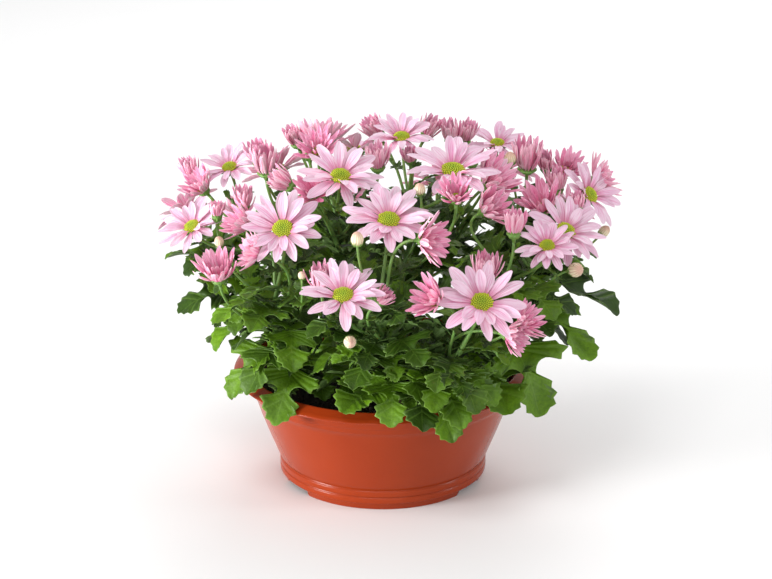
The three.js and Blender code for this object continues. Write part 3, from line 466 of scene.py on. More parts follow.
# Branches in the order of growth: plant, name, root x and y, count of leaves, and the heads: kind,
# x, y, z of the disc or base, degrees round from the viewer, degrees above level, and size.
BRANCHES = [
    ("left", "front_left", (-48, -28), 7, [
        ("open", -72, -93, 228, -8, 47, 32), ("half", -103, -61, 223, -70, 30, 17),
        ("half", -94, -99, 212, -80, 20, 15), ("half", -120, -91, 195, -20, 70, 20),
        ("bud", -119, -70, 208, -30, 70, 8), ("bud", -58, -118, 200, 0, 60, 6),
    ]),
    ("left", "left", (-48, -28), 7, [
        ("open", -142, -30, 209, -40, 58, 27), ("open", -117, 30, 237, -30, 65, 25),
        ("half", -139, 16, 227, -60, 50, 16), ("cup", -146, 34, 229, -70, 70, 16),
        ("cup", -103, -43, 229, -5, 80, 17), ("cup", -123, -39, 220, 10, 85, 12),
    ]),
    ("front", "front", (14, -56), 8, [
        ("open", 4, -98, 236, 4, 62, 34), ("open", -28, -141, 194, 0, 62, 32),
        ("half", 33, -120, 229, 60, 10, 18), ("bud", -18, -136, 231, -10, 80, 10),
        ("cup", -44, -112, 189, -10, 80, 20), ("cup", -3, -136, 188, 60, 45, 13),
        ("bud", -24, -150, 164, 10, 5, 10),
    ]),
    ("front", "front_right", (14, -56), 8, [
        ("open", 70, -136, 187, 5, 50, 34), ("half", 34, -141, 192, -60, 30, 17),
        ("cup", 74, -104, 193, 10, 80, 22), ("half", 92, -140, 164, 60, 0, 15),
        ("half", 102, -129, 171, 60, 40, 15),
    ]),
    ("right", "right_front", (58, -10), 7, [
        ("open", 119, -84, 212, -5, 55, 24), ("open", 134, -56, 214, 30, 48, 31),
        ("half", 118, -26, 226, -30, 60, 20), ("cup", 95, -80, 220, -5, 85, 19),
        ("bud", 138, -79, 192, 30, 20, 12), ("half", 78, -66, 236, 60, 35, 18),
    ]),
    ("right", "right", (58, -10), 7, [
        ("open", 155, -5, 226, 50, 38, 29), ("half", 166, 20, 232, 95, 30, 18),
        ("cup", 144, -32, 224, -5, 85, 13), ("bud", 166, 5, 192, 60, 50, 9),
        ("cup", 131, -1, 229, -10, 80, 18), ("cup", 124, 20, 239, -20, 65, 15),
        ("half", 140, 26, 238, 20, 50, 15), ("cup", 109, 12, 241, 10, 80, 26),
        ("bud", 96, 3, 249, -20, 70, 10),
    ]),
    ("centre", "centre_left", (0, -6), 8, [
        ("open", -31, -59, 257, 10, 62, 32), ("half", -51, -56, 245, -20, 45, 15),
        ("half", -49, -2, 262, -10, 55, 17), ("half", -47, 46, 257, 160, 70, 24),
        ("cup", -66, 44, 252, -50, 65, 16), ("cup", -68, -45, 246, -80, 35, 18),
        ("cup", -88, 0, 242, -10, 75, 23), ("cup", -4, -30, 255, 0, 80, 20),
    ]),
    ("centre", "centre_right", (0, -6), 8, [
        ("open", 51, -48, 258, 2, 74, 38), ("open", 14, 6, 268, -10, 72, 26),
        ("half", 52, -92, 254, -5, 58, 15), ("cup", 20, -21, 258, -10, 60, 12),
        ("half", 82, -28, 246, 70, 45, 22), ("bud", 27, -77, 250, -20, 70, 9),
        ("cup", 52, 28, 259, -20, 75, 18), ("cup", -3, 30, 262, -60, 55, 18),
        ("cup", 33, 32, 262, 60, 60, 17),
    ]),
    ("back", "back_right", (2, 46), 10, [
        ("open", 96, 100, 214, 145, 55, 30), ("open", 88, 50, 250, 5, 72, 25),
        ("cup", 62, 39, 256, 40, 70, 17), ("open", 44, 132, 192, 175, 48, 30),
        ("open", 146, 84, 190, 122, 45, 26), ("cup", 70, 90, 222, 160, 75, 18),
        ("bud", 100, 132, 172, 150, 40, 10),
    ]),
    ("back", "back_left", (2, 46), 10, [
        ("open", -84, 106, 212, -150, 52, 31), ("open", -22, 94, 232, 180, 60, 30),
        ("open", -155, 82, 186, -125, 45, 30), ("cup", -93, 17, 245, -40, 70, 19),
        ("open", -30, 148, 176, -172, 42, 27), ("cup", -58, 90, 228, -150, 75, 17),
        ("half", -118, 126, 172, -145, 45, 18),
    ]),
]


def unit(vector):
    return vector / np.linalg.norm(vector, axis=-1, keepdims=True)


def facing(around, above):
    around, above = np.radians(around), np.radians(above)
    level = np.cos(above)
    return np.array([np.sin(around) * level, -np.cos(around) * level, np.sin(above)])


def randoms(seed):
    """The plain repeatable draws that both models of the plant use: s = (a s + c) mod m."""
    state, top = seed, 2**32
    while True:
        state = (state * 1664525 + 1013904223) % top
        yield state / top


class Head:
    """A bloom, cup or bud: its kind, size, base, the axis it faces along and the two others."""

    def __init__(self, name, row, seed):
        self.name, self.seed = name, seed
        self.kind, *self.place, around, above, self.size = row
        self.axis = facing(around, above)
        self.side = unit(np.cross(UP, self.axis))
        self.third = np.cross(self.axis, self.side)
        sink = -HALF_SINK * self.size if self.kind == "half" else 0.0
        self.base = np.array(self.place, float) + sink * self.axis
        self.calyx = PETAL_UNDERSIDE if self.kind == "open" else 0.0

    def directions(self, angle):
        """Outward from the axis at an angle, and square to that, round the head."""
        cos, sin = np.cos(angle)[..., None], np.sin(angle)[..., None]
        return cos * self.side + sin * self.third, cos * self.third - sin * self.side

    def point(self, radius, angle, height):
        """A point at a radius, angle and height above the head's base, for arrays of them."""
        radius, angle, height = np.broadcast_arrays(radius, angle, height)
        outward, _ = self.directions(angle)
        return self.base + radius[..., None] * outward + height[..., None] * self.axis


class Branch:
    def __init__(self, index, plant, name, root, leaf_count, rows):
        self.plant, self.name, self.root, self.leaf_count = plant, name, root, leaf_count
        self.leaf_seed = LEAF_SEED * (index + 1)
        self.heads = []
        for i, row in enumerate(rows, 1):
            self.heads.append(Head(f"{name}_{i}", row, BRANCH_SEED * (index + 1) + HEAD_SEED * i))
        mean = np.mean([head.base for head in self.heads], axis=0)
        level = FORK_TO_ROOT * np.array(root) + FORK_TO_HEADS * mean[:2]
        self.collar = np.array([*root, SOIL_TOP + COLLAR_ABOVE_SOIL])
        self.fork = np.array([*level, mean[2] - FORK_BELOW_HEADS])
        self.bend = 0.5 * (self.collar + self.fork) + BRANCH_RISE * UP

    def at(self, share):
        """A point on the branch: straight between joints on a curve from the collar to the fork."""
        def on_curve(t):
            return (1 - t) ** 2 * self.collar + 2 * t * (1 - t) * self.bend + t * t * self.fork
        below = min(int(share * BRANCH_SPANS), BRANCH_SPANS - 1)
        low, high = on_curve(below / BRANCH_SPANS), on_curve((below + 1) / BRANCH_SPANS)
        return low + (high - low) * (share * BRANCH_SPANS - below)

    def stalk(self, head):
        """The four control points of a head's stalk, which swings out and ends square to the head."""
        first = head is self.heads[0]
        others = sorted(self.heads[1:], key=lambda one: -one.base[2])
        start = self.fork
        if not first:
            start = self.at(STALK_HIGHEST - STALK_RANGE * (others.index(head) / (len(self.heads) - 1)))
        end = head.base + head.axis * (head.calyx - (BUD_FOOT if head.kind == "bud" else CALYX_HEIGHT))
        span = np.linalg.norm(end - start)
        grown, lean = unit(self.fork - self.bend), unit(end - start)
        if not first:
            lean = unit(lean - grown * (lean @ grown)) + STALK_LEAN * grown
        out = start + STALK_PULLS[0] * span * unit(lean)
        under = end - STALK_PULLS[1] * span * head.axis
        return np.array([start, out, under, end])


def curve_points(controls, steps):
    """Cubic curve through four control points: the sum of b(t) times each, for each t."""
    t = np.linspace(0.0, 1.0, steps)[:, None]
    weights = np.concatenate([(1 - t) ** 3, 3 * t * (1 - t) ** 2, 3 * t * t * (1 - t), t**3], 1)
    return weights @ controls


def smooth_path(joints, steps):
    """A path through the joints with its corners eased: each point is a blend of nearby ones."""
    joints = np.asarray(joints)
    run = np.concatenate([[0], np.cumsum(np.linalg.norm(np.diff(joints, axis=0), axis=1))])
    at = np.linspace(0, run[-1], steps * 3)
    dense = np.stack([np.interp(at, run, joints[:, k]) for k in range(3)], -1)
    for _ in range(steps // 2):
        dense[1:-1] = 0.25 * dense[:-2] + 0.5 * dense[1:-1] + 0.25 * dense[2:]
    pick = np.linspace(0, len(dense) - 1, steps).round().astype(int)
    return dense[pick]


def carried_ring(path, radii, sides):
    """A ring of points carried along a path: centre + radius (cos a u + sin a v), where u and v are
    square to the path, and the radius swells with cos 5a by the ridge."""
    along = unit(np.gradient(path, axis=0))
    flat = unit(np.cross(path[-1] - path[0], NEARLY_UP))
    across = unit(flat - along * (along @ flat)[:, None])
    third = np.cross(along, across)
    angle = TURN * np.arange(sides) / sides
    swell = 1.0 + STEM_RIDGE * np.cos(RIDGES * angle)
    ring = np.cos(angle)[:, None] * across[:, None] + np.sin(angle)[:, None] * third[:, None]
    return path[:, None] + (radii[:, None] * swell)[..., None] * ring


def closed_tube(path, radii, sides):
    """A carried ring with its two ends drawn together, as points, quads and a (round, along) map."""
    tube = carried_ring(path, radii, sides)
    start = path[:1, None] + CLOSED_END * (tube[:1] - path[:1, None])
    end = path[-1:, None] + CLOSED_END * (tube[-1:] - path[-1:, None])
    points = np.concatenate([start, tube, end])
    last = len(path) - 1
    along = np.concatenate([[0], np.arange(len(path)), [last]])[:, None] / last
    uv = np.stack(np.broadcast_arrays(np.arange(sides) / sides, along), -1)
    return points.reshape(-1, 3), grid_quads(len(points), sides, True), uv.reshape(-1, 2)


def gathered(parts):
    """Many meshes, each (points, quads, map), as one."""
    starts = np.cumsum([0] + [len(part[0]) for part in parts[:-1]])
    points = np.concatenate([part[0] for part in parts])
    quads = np.concatenate([part[1] + start for part, start in zip(parts, starts)])
    return points, quads, np.concatenate([part[2] for part in parts])


def branch_parts(branch):
    """The branch's trunk, eased through its joints, the stalk that goes on from its fork, and the
    other heads' stalks, each a closed tube."""
    foot = np.array([branch.root[0], branch.root[1], SOIL_TOP - ROOT_DEPTH])
    trunk = smooth_path([foot, branch.collar] + [branch.at(s) for s in (0.33, 0.66, 1.0)], STEM_STEPS)
    parts = [closed_tube(trunk, np.interp(np.linspace(0, 1, STEM_STEPS), *TRUNK_RADII), STEM_ROUND)]
    share = np.linspace(0, 1, STALK_STEPS)
    lead = curve_points(branch.stalk(branch.heads[0]), STALK_STEPS)
    parts.append(closed_tube(lead, np.interp(share, *LEAD_RADII), STEM_ROUND))
    places, radii = STALK_RADII
    for head in branch.heads[1:]:
        path = curve_points(branch.stalk(head), STALK_STEPS)
        thin = BUD_STALK if head.kind == "bud" else 1.0
        narrowed = np.array(radii) * [1.0, 1.0, thin, thin]
        parts.append(closed_tube(path, np.interp(share, places, narrowed), STALK_ROUND))
    return parts


def stem_finish():
    finish = Finish("living_stem", 0.55, Subsurface_Weight=0.04)
    height = finish.node("ShaderNodeSeparateXYZ", {0: finish.place}).outputs[2]
    streak = finish.noise(260.0, 3.0, finish.stretched(finish.place, (1.0, 1.0, 0.12)))
    green = finish.mix(finish.ramp(streak, 0.3, 0.7), (0.09, 0.2, 0.035), (0.17, 0.31, 0.07))
    finish.colour(finish.mix(finish.ramp(height, 0.08, 0.125), (0.13, 0.12, 0.045), green))
    finish.bump(finish.noise(900.0, 2.0), 0.25, 0.0003)
    return finish.material


branches = [Branch(index, *row) for index, row in enumerate(BRANCHES)]
plants = list(dict.fromkeys(branch.plant for branch in branches))
heads = [head for branch in branches for head in branch.heads]
stem_material = stem_finish()
for plant in plants:
    own = [branch for branch in branches if branch.plant == plant]
    points, quads, uv = gathered([part for branch in own for part in branch_parts(branch)])
    stems = add_mesh(f"stems_{plant}", points * MM, [quads], stem_material, {"along": uv})
    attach(stems, "root")
    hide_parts(f"leafy_stem_{plant}")


# The large leaves
# Lobed, toothed leaves of living green, each on a short stalk from its branch, folded a little
# along the midrib and drooping at the end. Darker above, paler and matt underneath.

LEAF_LENGTH = 64.0
LEAF_FOLD = 0.22
LEAF_THICK = 0.45
LEAF_ROOT_OUT = 1.2
FULL_THICK_FROM = 45.0
LARGE_MESH = (75, 3, [0, 2, 3, 4, 6])
LARGE_ROLL = 0.3
ROLL_SPEED = 1.5
MOSTLY_DARK = 1.6
CORNER_BLEND = 0.09
UNEVEN = 0.09
UNEVEN_WAVES = 19.0

# Relief of the blade, in shares of the leaf's length and of its rows.
VEIN_SPLAY = 0.8
VEIN_WIDTH = 0.014
VEIN_ROWS = 0.013
VEIN_DEPTH = 0.016
NECK_WIDTH = 0.05
RIGHT_WAVES = 17.0
LEFT_WAVES = 15.0
EDGE_WAVE_HEIGHT = 0.03
SLOW_WAVES = 9.0
SLOW_WAVE_HEIGHT = 0.01
EDGE_CURL = (-0.25, 0.75)
END_CURL = (-0.15, 0.5)
END_CURL_FROM = 0.55
LEAF_STALK = 1.3
LEAF_STALK_SHARE = 0.022
LEAF_STALK_WIDTH = 0.06
LEAF_STALK_END = 0.4

# How the leaves stand on a branch: degrees round it and up, then shares of the branch or the leaf.
GOLDEN_ANGLE = 137.5
TURN_RANGE = 70.0
FAN = 100.0
CENTRE_FAN = 150.0
LOWEST_CLIMB = -42.0
CLIMB_GAIN = 48.0
CLIMB_RANGE = 30.0
LOWEST_LEAF = 0.12
TOP_SHORTER = 0.12
LEAF_SHORTEST = 0.9
LEAF_LENGTH_RANGE = 0.2
LEAF_ARCH = 0.3
LEAF_DRAWS = 12
LEAF_MARKS = ([1.0, 0.64, 0.64, 0.31, 0.31], [0.0, 0.35, -0.35, 0.25, -0.25])
MARKS_NEEDED = 2
FOUND_WITHIN = 0.9

# One side of the blade from the stalk to the tip: share of the length along, share of the length
# out from the midrib, and where on the midrib the vein to this place begins.
LEAF_SIDE = np.array([
    (0.0, 0.013, 0.0), (0.08, 0.011, 0.06), (0.15, 0.016, 0.11), (0.185, 0.04, 0.13), (0.21, 0.09, 0.14),
    (0.208, 0.15, 0.15), (0.208, 0.226, 0.158), (0.253, 0.182, 0.168), (0.266, 0.29, 0.178),
    (0.316, 0.226, 0.195), (0.366, 0.292, 0.21), (0.35, 0.205, 0.235), (0.342, 0.13, 0.262),
    (0.362, 0.075, 0.29), (0.415, 0.055, 0.325), (0.462, 0.09, 0.35), (0.474, 0.17, 0.365),
    (0.47, 0.272, 0.378), (0.524, 0.226, 0.39), (0.536, 0.362, 0.402), (0.59, 0.28, 0.42),
    (0.636, 0.408, 0.438), (0.652, 0.284, 0.455), (0.705, 0.336, 0.47), (0.672, 0.24, 0.495),
    (0.64, 0.165, 0.52), (0.655, 0.095, 0.555), (0.71, 0.062, 0.6), (0.76, 0.09, 0.635),
    (0.782, 0.155, 0.66), (0.804, 0.24, 0.685), (0.846, 0.148, 0.715), (0.896, 0.212, 0.75),
    (0.908, 0.112, 0.79), (0.965, 0.15, 0.835), (0.96, 0.07, 0.885), (0.998, 0.05, 0.94),
    (1.0, 0.0, 1.0),
])
LAST_CORNER = len(LEAF_SIDE) - 1
LOBE_ROWS = np.array([8.0, 10.0, 17.2, 19.2, 21.2, 23.0, 30.2, 32.2]) / LAST_CORNER

# Leaves that are set one by one: branch, share of the branch where each grows, tip, and arch.
PLACED_LEAVES = [
    ("front_left", 0.3, (-80, -100, 79), 22),
    ("front_left", 0.5, (-118, -72, 90), 20),
    ("front", 0.22, (-30, -122, 97), 10),
    ("front", 0.3, (6, -130, 92), 16),
    ("front_right", 0.26, (30, -134, 90), 16),
    ("front_right", 0.45, (58, -138, 92), 20),
    ("right_front", 0.3, (92, -104, 88), 16),
    ("right_front", 0.55, (120, -88, 82), 26),
    ("right", 0.6, (158, -44, 108), 24),
    ("right", 0.75, (178, -18, 134), 18),
    ("left", 0.55, (-128, -52, 120), 20),
    ("left", 0.7, (-156, -36, 146), 14),
    ("left", 0.85, (-166, -4, 180), 12),
]


class Leaf:
    """A leaf's midrib from its root over an arch to its tip, its level side, and how far it rolls."""

    def __init__(self, foot, tip, lift, out=LEAF_ROOT_OUT):
        level = unit((tip - foot) * [1.0, 1.0, 0.0])
        self.root, self.tip = foot + level * out, tip
        self.side = np.array([-level[1], level[0], 0.0])
        self.length = np.linalg.norm(self.tip - self.root)
        self.arch = 0.5 * (self.root + self.tip) + lift * UP
        self.roll = 0.0


def leaf_surface(leaf, along, across):
    """Points of a leaf: P(along) + across s + fold |across| n, with P a curve through the root, the
    arch's pull and the tip, s the level side and n square to both. All in shares of its length."""
    t = np.asarray(along)[..., None]
    across = np.asarray(across)[..., None] * leaf.length
    middle = (1 - t) ** 2 * leaf.root + 2 * t * (1 - t) * leaf.arch + t * t * leaf.tip
    tangent = unit((1 - t) * (leaf.arch - leaf.root) + t * (leaf.tip - leaf.arch))
    flat = unit(np.cross(tangent, leaf.side))
    turn = leaf.roll * np.clip(ROLL_SPEED * t, 0, 1)
    side = np.cos(turn) * leaf.side + np.sin(turn) * flat
    normal = np.cos(turn) * flat - np.sin(turn) * leaf.side
    return middle + across * side + LEAF_FOLD * np.abs(across) * normal, normal


def leaf_outline(rows):
    """One side of the blade in so many rows, its corners rounded by as many passes as there are
    rows to a corner, with each row's place among the corners."""
    at = np.linspace(0, LAST_CORNER, rows)
    along, out, vein = [np.interp(at, np.arange(LAST_CORNER + 1), side) for side in LEAF_SIDE.T]
    passes = round(rows / LAST_CORNER)
    near = CORNER_BLEND * passes
    for _ in range(passes):
        for side in (along, out):
            side[1:-1] = near * side[:-2] + (1 - 2 * near) * side[1:-1] + near * side[2:]
    return along, out, vein, at / LAST_CORNER


def closed_skins(upper, lower):
    """Thin closed pieces from their two faces, each an array (piece, row, column, xyz): the lower
    face comes back under the upper one, and the end rows are drawn together."""
    skin = np.concatenate([upper, lower[:, :, ::-1]], 2)
    ends = skin[:, [0, -1]].mean(2, keepdims=True)
    skin[:, [0, -1]] = ends + CLOSED_END * (skin[:, [0, -1]] - ends)
    count, rows, columns = skin.shape[:3]
    quads = grid_quads(rows, columns, True)[:, ::-1]
    return skin.reshape(-1, 3), repeated(quads, count, rows * columns)


def skin_maps(along, across, below, tone):
    """For each point of such pieces: along, across, the piece's tone, and 0 above or 1 below."""
    half = np.concatenate([across, below[::-1]]) * 0.5 + 0.5
    face = np.repeat([0.0, 1.0], [len(across), len(below)])
    maps = np.broadcast_arrays(along[:, None], half, tone[:, None, None], face)
    return np.stack(maps, -1).reshape(-1, 4)


def leaf_part(leaf, tone, draw, mesh=LARGE_MESH, narrow=1.0):
    """Across a row, v goes from one edge to the other: along = lerp(vein, outline, |v|^0.8) and
    across = v * outline's width, a little uneven. The face sinks at the veins, and its edges wave
    and curl. The lower face has only some of the upper one's columns."""
    rows, half, kept = mesh
    along, out, vein, place = leaf_outline(rows)
    v = np.sin(np.linspace(-1, 1, 2 * half + 1) * np.pi / 2)
    share = np.abs(v) ** VEIN_SPLAY
    x = vein[:, None] * (1 - share) + along[:, None] * share
    phases = draw.uniform(0, TURN, 2)
    uneven = 1 + UNEVEN * np.sin(UNEVEN_WAVES * along[:, None] + np.where(v < 0, *phases))
    y = v * out[:, None] * narrow * uneven
    surface, normal = leaf_surface(leaf, x, y)
    at_lobe = np.exp(-(((place[:, None, None] - LOBE_ROWS) / VEIN_ROWS) ** 2)).max(-1)
    at_midrib = np.exp(-((y / VEIN_WIDTH) ** 2))
    blade = np.clip(out / NECK_WIDTH, 0, 1)[:, None]
    sunk = VEIN_DEPTH * np.maximum(at_lobe * (1 - 0.5 * np.abs(v)), at_midrib) * blade
    right, left, slow = draw.uniform(0, TURN, 3)
    wave = np.where(v > 0, np.sin(RIGHT_WAVES * x + right), np.sin(LEFT_WAVES * x + left))
    wave = EDGE_WAVE_HEIGHT * np.abs(v) ** 1.5 * wave * blade
    curl = draw.uniform(*EDGE_CURL) * y**2
    curl = curl + draw.uniform(*END_CURL) * np.clip(x - END_CURL_FROM, 0, 1) ** 2
    height = wave - sunk - curl + SLOW_WAVE_HEIGHT * np.sin(SLOW_WAVES * x + slow)
    upper = surface + (leaf.length * height)[..., None] * normal
    ribs = 0.5 + 0.9 * at_midrib + 0.3 * at_lobe * (1 - np.abs(v))
    thick = LEAF_THICK * min(1.0, leaf.length / FULL_THICK_FROM) * ribs
    in_stalk = (1 - np.clip(out / LEAF_STALK_WIDTH, 0, 1)) * (place < LEAF_STALK_END)
    stalk = min(LEAF_STALK, LEAF_STALK_SHARE * leaf.length) * in_stalk[:, None] * (1 - v**2)
    lower = upper - (thick + stalk)[..., None] * normal
    points, quads = closed_skins(upper[None], lower[None][:, :, kept])
    return points, quads, skin_maps(place, v, v[kept], np.array([tone]))


def rule_leaf(branch, number, numbers):
    """One draw of a leaf's turn, climb and length, from its height on the branch."""
    fan = CENTRE_FAN if branch.plant == "centre" else FAN
    share = LOWEST_LEAF + (1 - LOWEST_LEAF) * ((number + 0.5) / branch.leaf_count)
    outward = np.degrees(np.arctan2(branch.fork[1], branch.fork[0]))
    turn = (number * GOLDEN_ANGLE + TURN_RANGE * next(numbers)) % (2 * fan) - fan
    climb = np.radians(LOWEST_CLIMB + CLIMB_GAIN * share + CLIMB_RANGE * (next(numbers) - 0.5))
    sized = LEAF_SHORTEST + LEAF_LENGTH_RANGE * next(numbers)
    length = LEAF_LENGTH * (1 - TOP_SHORTER * share) * sized
    heading = np.radians(outward + turn)
    level = np.cos(climb)
    step = np.array([level * np.cos(heading), level * np.sin(heading), np.sin(climb)])
    foot = branch.at(share)
    return Leaf(foot, foot + length * step, LEAF_ARCH * length)


def corners_found(leaf, vertices):
    """How many of the leaf's five points lie on the solid's vertices."""
    marks, _ = leaf_surface(leaf, *LEAF_MARKS)
    gaps = np.linalg.norm(vertices[None] - marks[:, None], axis=2).min(1)
    return int((gaps < FOUND_WITHIN).sum())


def leaves_of(branch, vertices):
    """Of each leaf's draws, the one that grew in the solid."""
    numbers = randoms(branch.leaf_seed)
    grown = []
    for number in range(branch.leaf_count):
        draws = [rule_leaf(branch, number, numbers) for _ in range(LEAF_DRAWS)]
        scores = [corners_found(leaf, vertices) for leaf in draws]
        if max(scores) >= MARKS_NEEDED:
            grown.append(draws[int(np.argmax(scores))])
    return grown


def leaf_finish():
    finish = Finish("living_leaf", 0.5, Specular_IOR_Level=0.27)
    row, across = finish.layer("leaf")
    tone, face = finish.layer("tone")
    out = finish.away(across, 0.5)
    veins = finish.ramp(out, 0.0, 0.03, 1.0, 0.0)
    for lobe in LOBE_ROWS:
        near = finish.ramp(finish.away(row, float(lobe)), 0.001, 0.009, 0.7, 0.0)
        veins = finish.math("MAXIMUM", veins, near)
    patch = finish.noise(70.0, 4.0)
    small = finish.noise(520.0, 3.0)
    old = finish.mix(finish.ramp(patch, 0.3, 0.7), (0.009, 0.024, 0.002), (0.022, 0.058, 0.004))
    young = finish.mix(finish.ramp(patch, 0.3, 0.7), (0.115, 0.25, 0.004), (0.21, 0.42, 0.008))
    upper = finish.mix(tone, old, young)
    upper = finish.mix(finish.ramp(small, 0.35, 0.75, 0.0, 0.35), upper, (0.015, 0.042, 0.004))
    upper = finish.mix(finish.math("MULTIPLY", veins, 0.4), upper, (0.16, 0.29, 0.04))
    # Painted highlight: a thin pale line along the edges of the upper face stands in for light caught on
    # the leaf's margins.
    edge = finish.ramp(out, 0.47, 0.5, 0.0, 0.35)
    upper = finish.mix(edge, upper, (0.22, 0.36, 0.06))
    under = finish.mix(finish.math("MULTIPLY", veins, 0.6), (0.1, 0.18, 0.045), (0.2, 0.3, 0.1))
    finish.colour(finish.mix(face, upper, under))
    coarse = finish.math("MULTIPLY", finish.noise(190.0, 2.0), 1.5)
    finish.bump(finish.math("ADD", small, coarse), 0.5, 0.0006)
    return finish.material


def add_leaves(name, parts, material):
    points, quads, maps = gathered(parts)
    layers = {"leaf": maps[:, :2], "tone": maps[:, 2:]}
    leaves = add_mesh(name, points * MM, [quads], material, layers)
    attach(leaves, "root")


def vertices_of(name):
    """The points of a node of the solid model, in millimetres."""
    return np.array([vertex.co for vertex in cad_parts[name].data.vertices]) / MM


leaf_material = leaf_finish()
draw = np.random.default_rng(23)
for plant in plants:
    vertices = vertices_of(f"leafy_stem_{plant}")
    own = {branch.name: branch for branch in branches if branch.plant == plant}
    grown = [leaf for branch in own.values() for leaf in leaves_of(branch, vertices)]
    for name, share, tip, lift in PLACED_LEAVES:
        if name in own:
            grown.append(Leaf(own[name].at(share), np.array(tip, float), lift))
    parts = []
    for leaf in grown:
        leaf.roll = draw.uniform(-LARGE_ROLL, LARGE_ROLL)
        parts.append(leaf_part(leaf, draw.uniform(0, 1) ** MOSTLY_DARK, draw))
    add_leaves(f"leaves_{plant}", parts, leaf_material)


# The small leaves
# Smaller leaves, all the way up the branches and the flower stalks, which close the plant's middle.
# They get smaller and narrower towards the heads, and stand off their stalk at an angle.

# Where they grow: share of the stalk or branch, and length.
STALK_LEAVES = ((0.14, 43.0), (0.4, 33.0), (0.66, 21.0))
BRANCH_LEAVES = (
    (0.08, 50.0), (0.16, 50.0), (0.24, 49.0), (0.32, 48.0), (0.42, 48.0), (0.52, 48.0), (0.62, 48.0),
    (0.72, 47.0), (0.82, 46.0), (0.92, 45.0), (0.67, 46.0), (0.77, 45.0), (0.87, 44.0), (0.98, 40.0),
)
SMALL_MESH = (38, 2, [0, 2, 4])
SMALL_LEAF_OUT = 0.6
OFF_UPRIGHT = (0.2, 0.1, 0.97)
SMALL_LEAF_LEAN = 58.0
SMALL_LEAN_RANGE = 14.0
SMALL_ROLL = 0.7
SMALL_DROOP = 0.12
SMALL_ARCH = (0.1, 0.26)
SMALL_SIZES = (0.8, 1.12)
SMALL_TONES = (0.0, 0.75)
SMALL_NARROWEST = 0.66
SMALL_WIDENING = 0.3 / 46
SHORT_STALK = 70.0
SHORT_STALK_SHARE = 0.4
PLACES_TRIED = 4
MIDRIB_MARKS = [0.5, 0.75, 1.0]
BLOOM_MIDDLE = 2.0
BLOOM_REACH = 0.72
CUP_MIDDLE = 0.5
CUP_REACH = 0.55
BOX_MARGIN = 6.0
RIM_LEAF_LOW = 92.0
SOIL_LEAF_LOW = 84.0
OVER_SOIL_RADIUS = 92.0
LOW_LEAF_TURNS = range(-110, 111, 20)
LOW_LEAF_OUT = 96.0
LOW_LEAF_NEAREST = 0.88
LOW_LEAF_HEIGHTS = (88.0, 94.0)
LOW_LEAF_SHARE = 0.08
LOW_LEAF_ARCH = 14.0
LOW_LEAF_TONES = (0.1, 0.8)


def leaf_off(path, share, length, turn, draw):
    """A leaf off a path at a share of it: its tip is foot + length (cos a tangent + sin a r), with
    r turned about the path."""
    at = share * (len(path) - 1)
    below = min(int(at), len(path) - 2)
    foot = path[below] + (path[below + 1] - path[below]) * (at - below)
    tangent = unit(path[below + 1] - path[below])
    side = unit(np.cross(tangent, OFF_UPRIGHT))
    away = np.cos(turn) * side + np.sin(turn) * np.cross(tangent, side)
    lean = np.radians(SMALL_LEAF_LEAN + draw.uniform(-SMALL_LEAN_RANGE, SMALL_LEAN_RANGE))
    tip = foot + length * (np.cos(lean) * tangent + np.sin(lean) * away - SMALL_DROOP * UP)
    return Leaf(foot, tip, draw.uniform(*SMALL_ARCH) * length, SMALL_LEAF_OUT)


def hits_head(leaf):
    """Whether the leaf's midrib comes within reach of the middle of a head."""
    marks, _ = leaf_surface(leaf, MIDRIB_MARKS, np.zeros(len(MIDRIB_MARKS)))
    for head in heads:
        bloom = head.kind == "open"
        middle = head.base + head.axis * (BLOOM_MIDDLE if bloom else CUP_MIDDLE * head.size)
        reach = (BLOOM_REACH if bloom else CUP_REACH) * head.size
        if np.linalg.norm(marks - middle, axis=1).min() < reach:
            return True
    return False


def has_room(leaf):
    """Whether the tip is well inside the plant's box, and over the rim or over the soil."""
    low, high = np.array(cad_box[0]) / MM + BOX_MARGIN, np.array(cad_box[1]) / MM - BOX_MARGIN
    over_soil = np.hypot(leaf.tip[0], leaf.tip[1]) < OVER_SOIL_RADIUS
    lowest = SOIL_LEAF_LOW if over_soil else RIM_LEAF_LOW
    return bool((leaf.tip > low).all() and (leaf.tip < high).all() and leaf.tip[2] > lowest)


def low_leaves(branch, draw):
    """Leaves that lie out over the soil from the branches whose root is nearest to their tip."""
    grown = []
    for turn in np.radians(LOW_LEAF_TURNS):
        out = LOW_LEAF_OUT * draw.uniform(LOW_LEAF_NEAREST, 1.0)
        tip = np.array([out * np.sin(turn), -out * np.cos(turn), draw.uniform(*LOW_LEAF_HEIGHTS)])
        nearest = min(branches, key=lambda one: np.linalg.norm(tip[:2] - one.root))
        if nearest is branch:
            grown.append(Leaf(branch.at(LOW_LEAF_SHARE), tip, LOW_LEAF_ARCH, SMALL_LEAF_OUT))
    return grown


def small_leaf(path, share, length, turn, draw):
    """One try at a small leaf, sized down on a short stalk."""
    run = np.linalg.norm(path[-1] - path[0])
    sized = length * draw.uniform(*SMALL_SIZES) * min(1.0, SHORT_STALK_SHARE + run / SHORT_STALK)
    leaf = leaf_off(path, share, sized, turn, draw)
    leaf.roll = draw.uniform(-SMALL_ROLL, SMALL_ROLL)
    return leaf


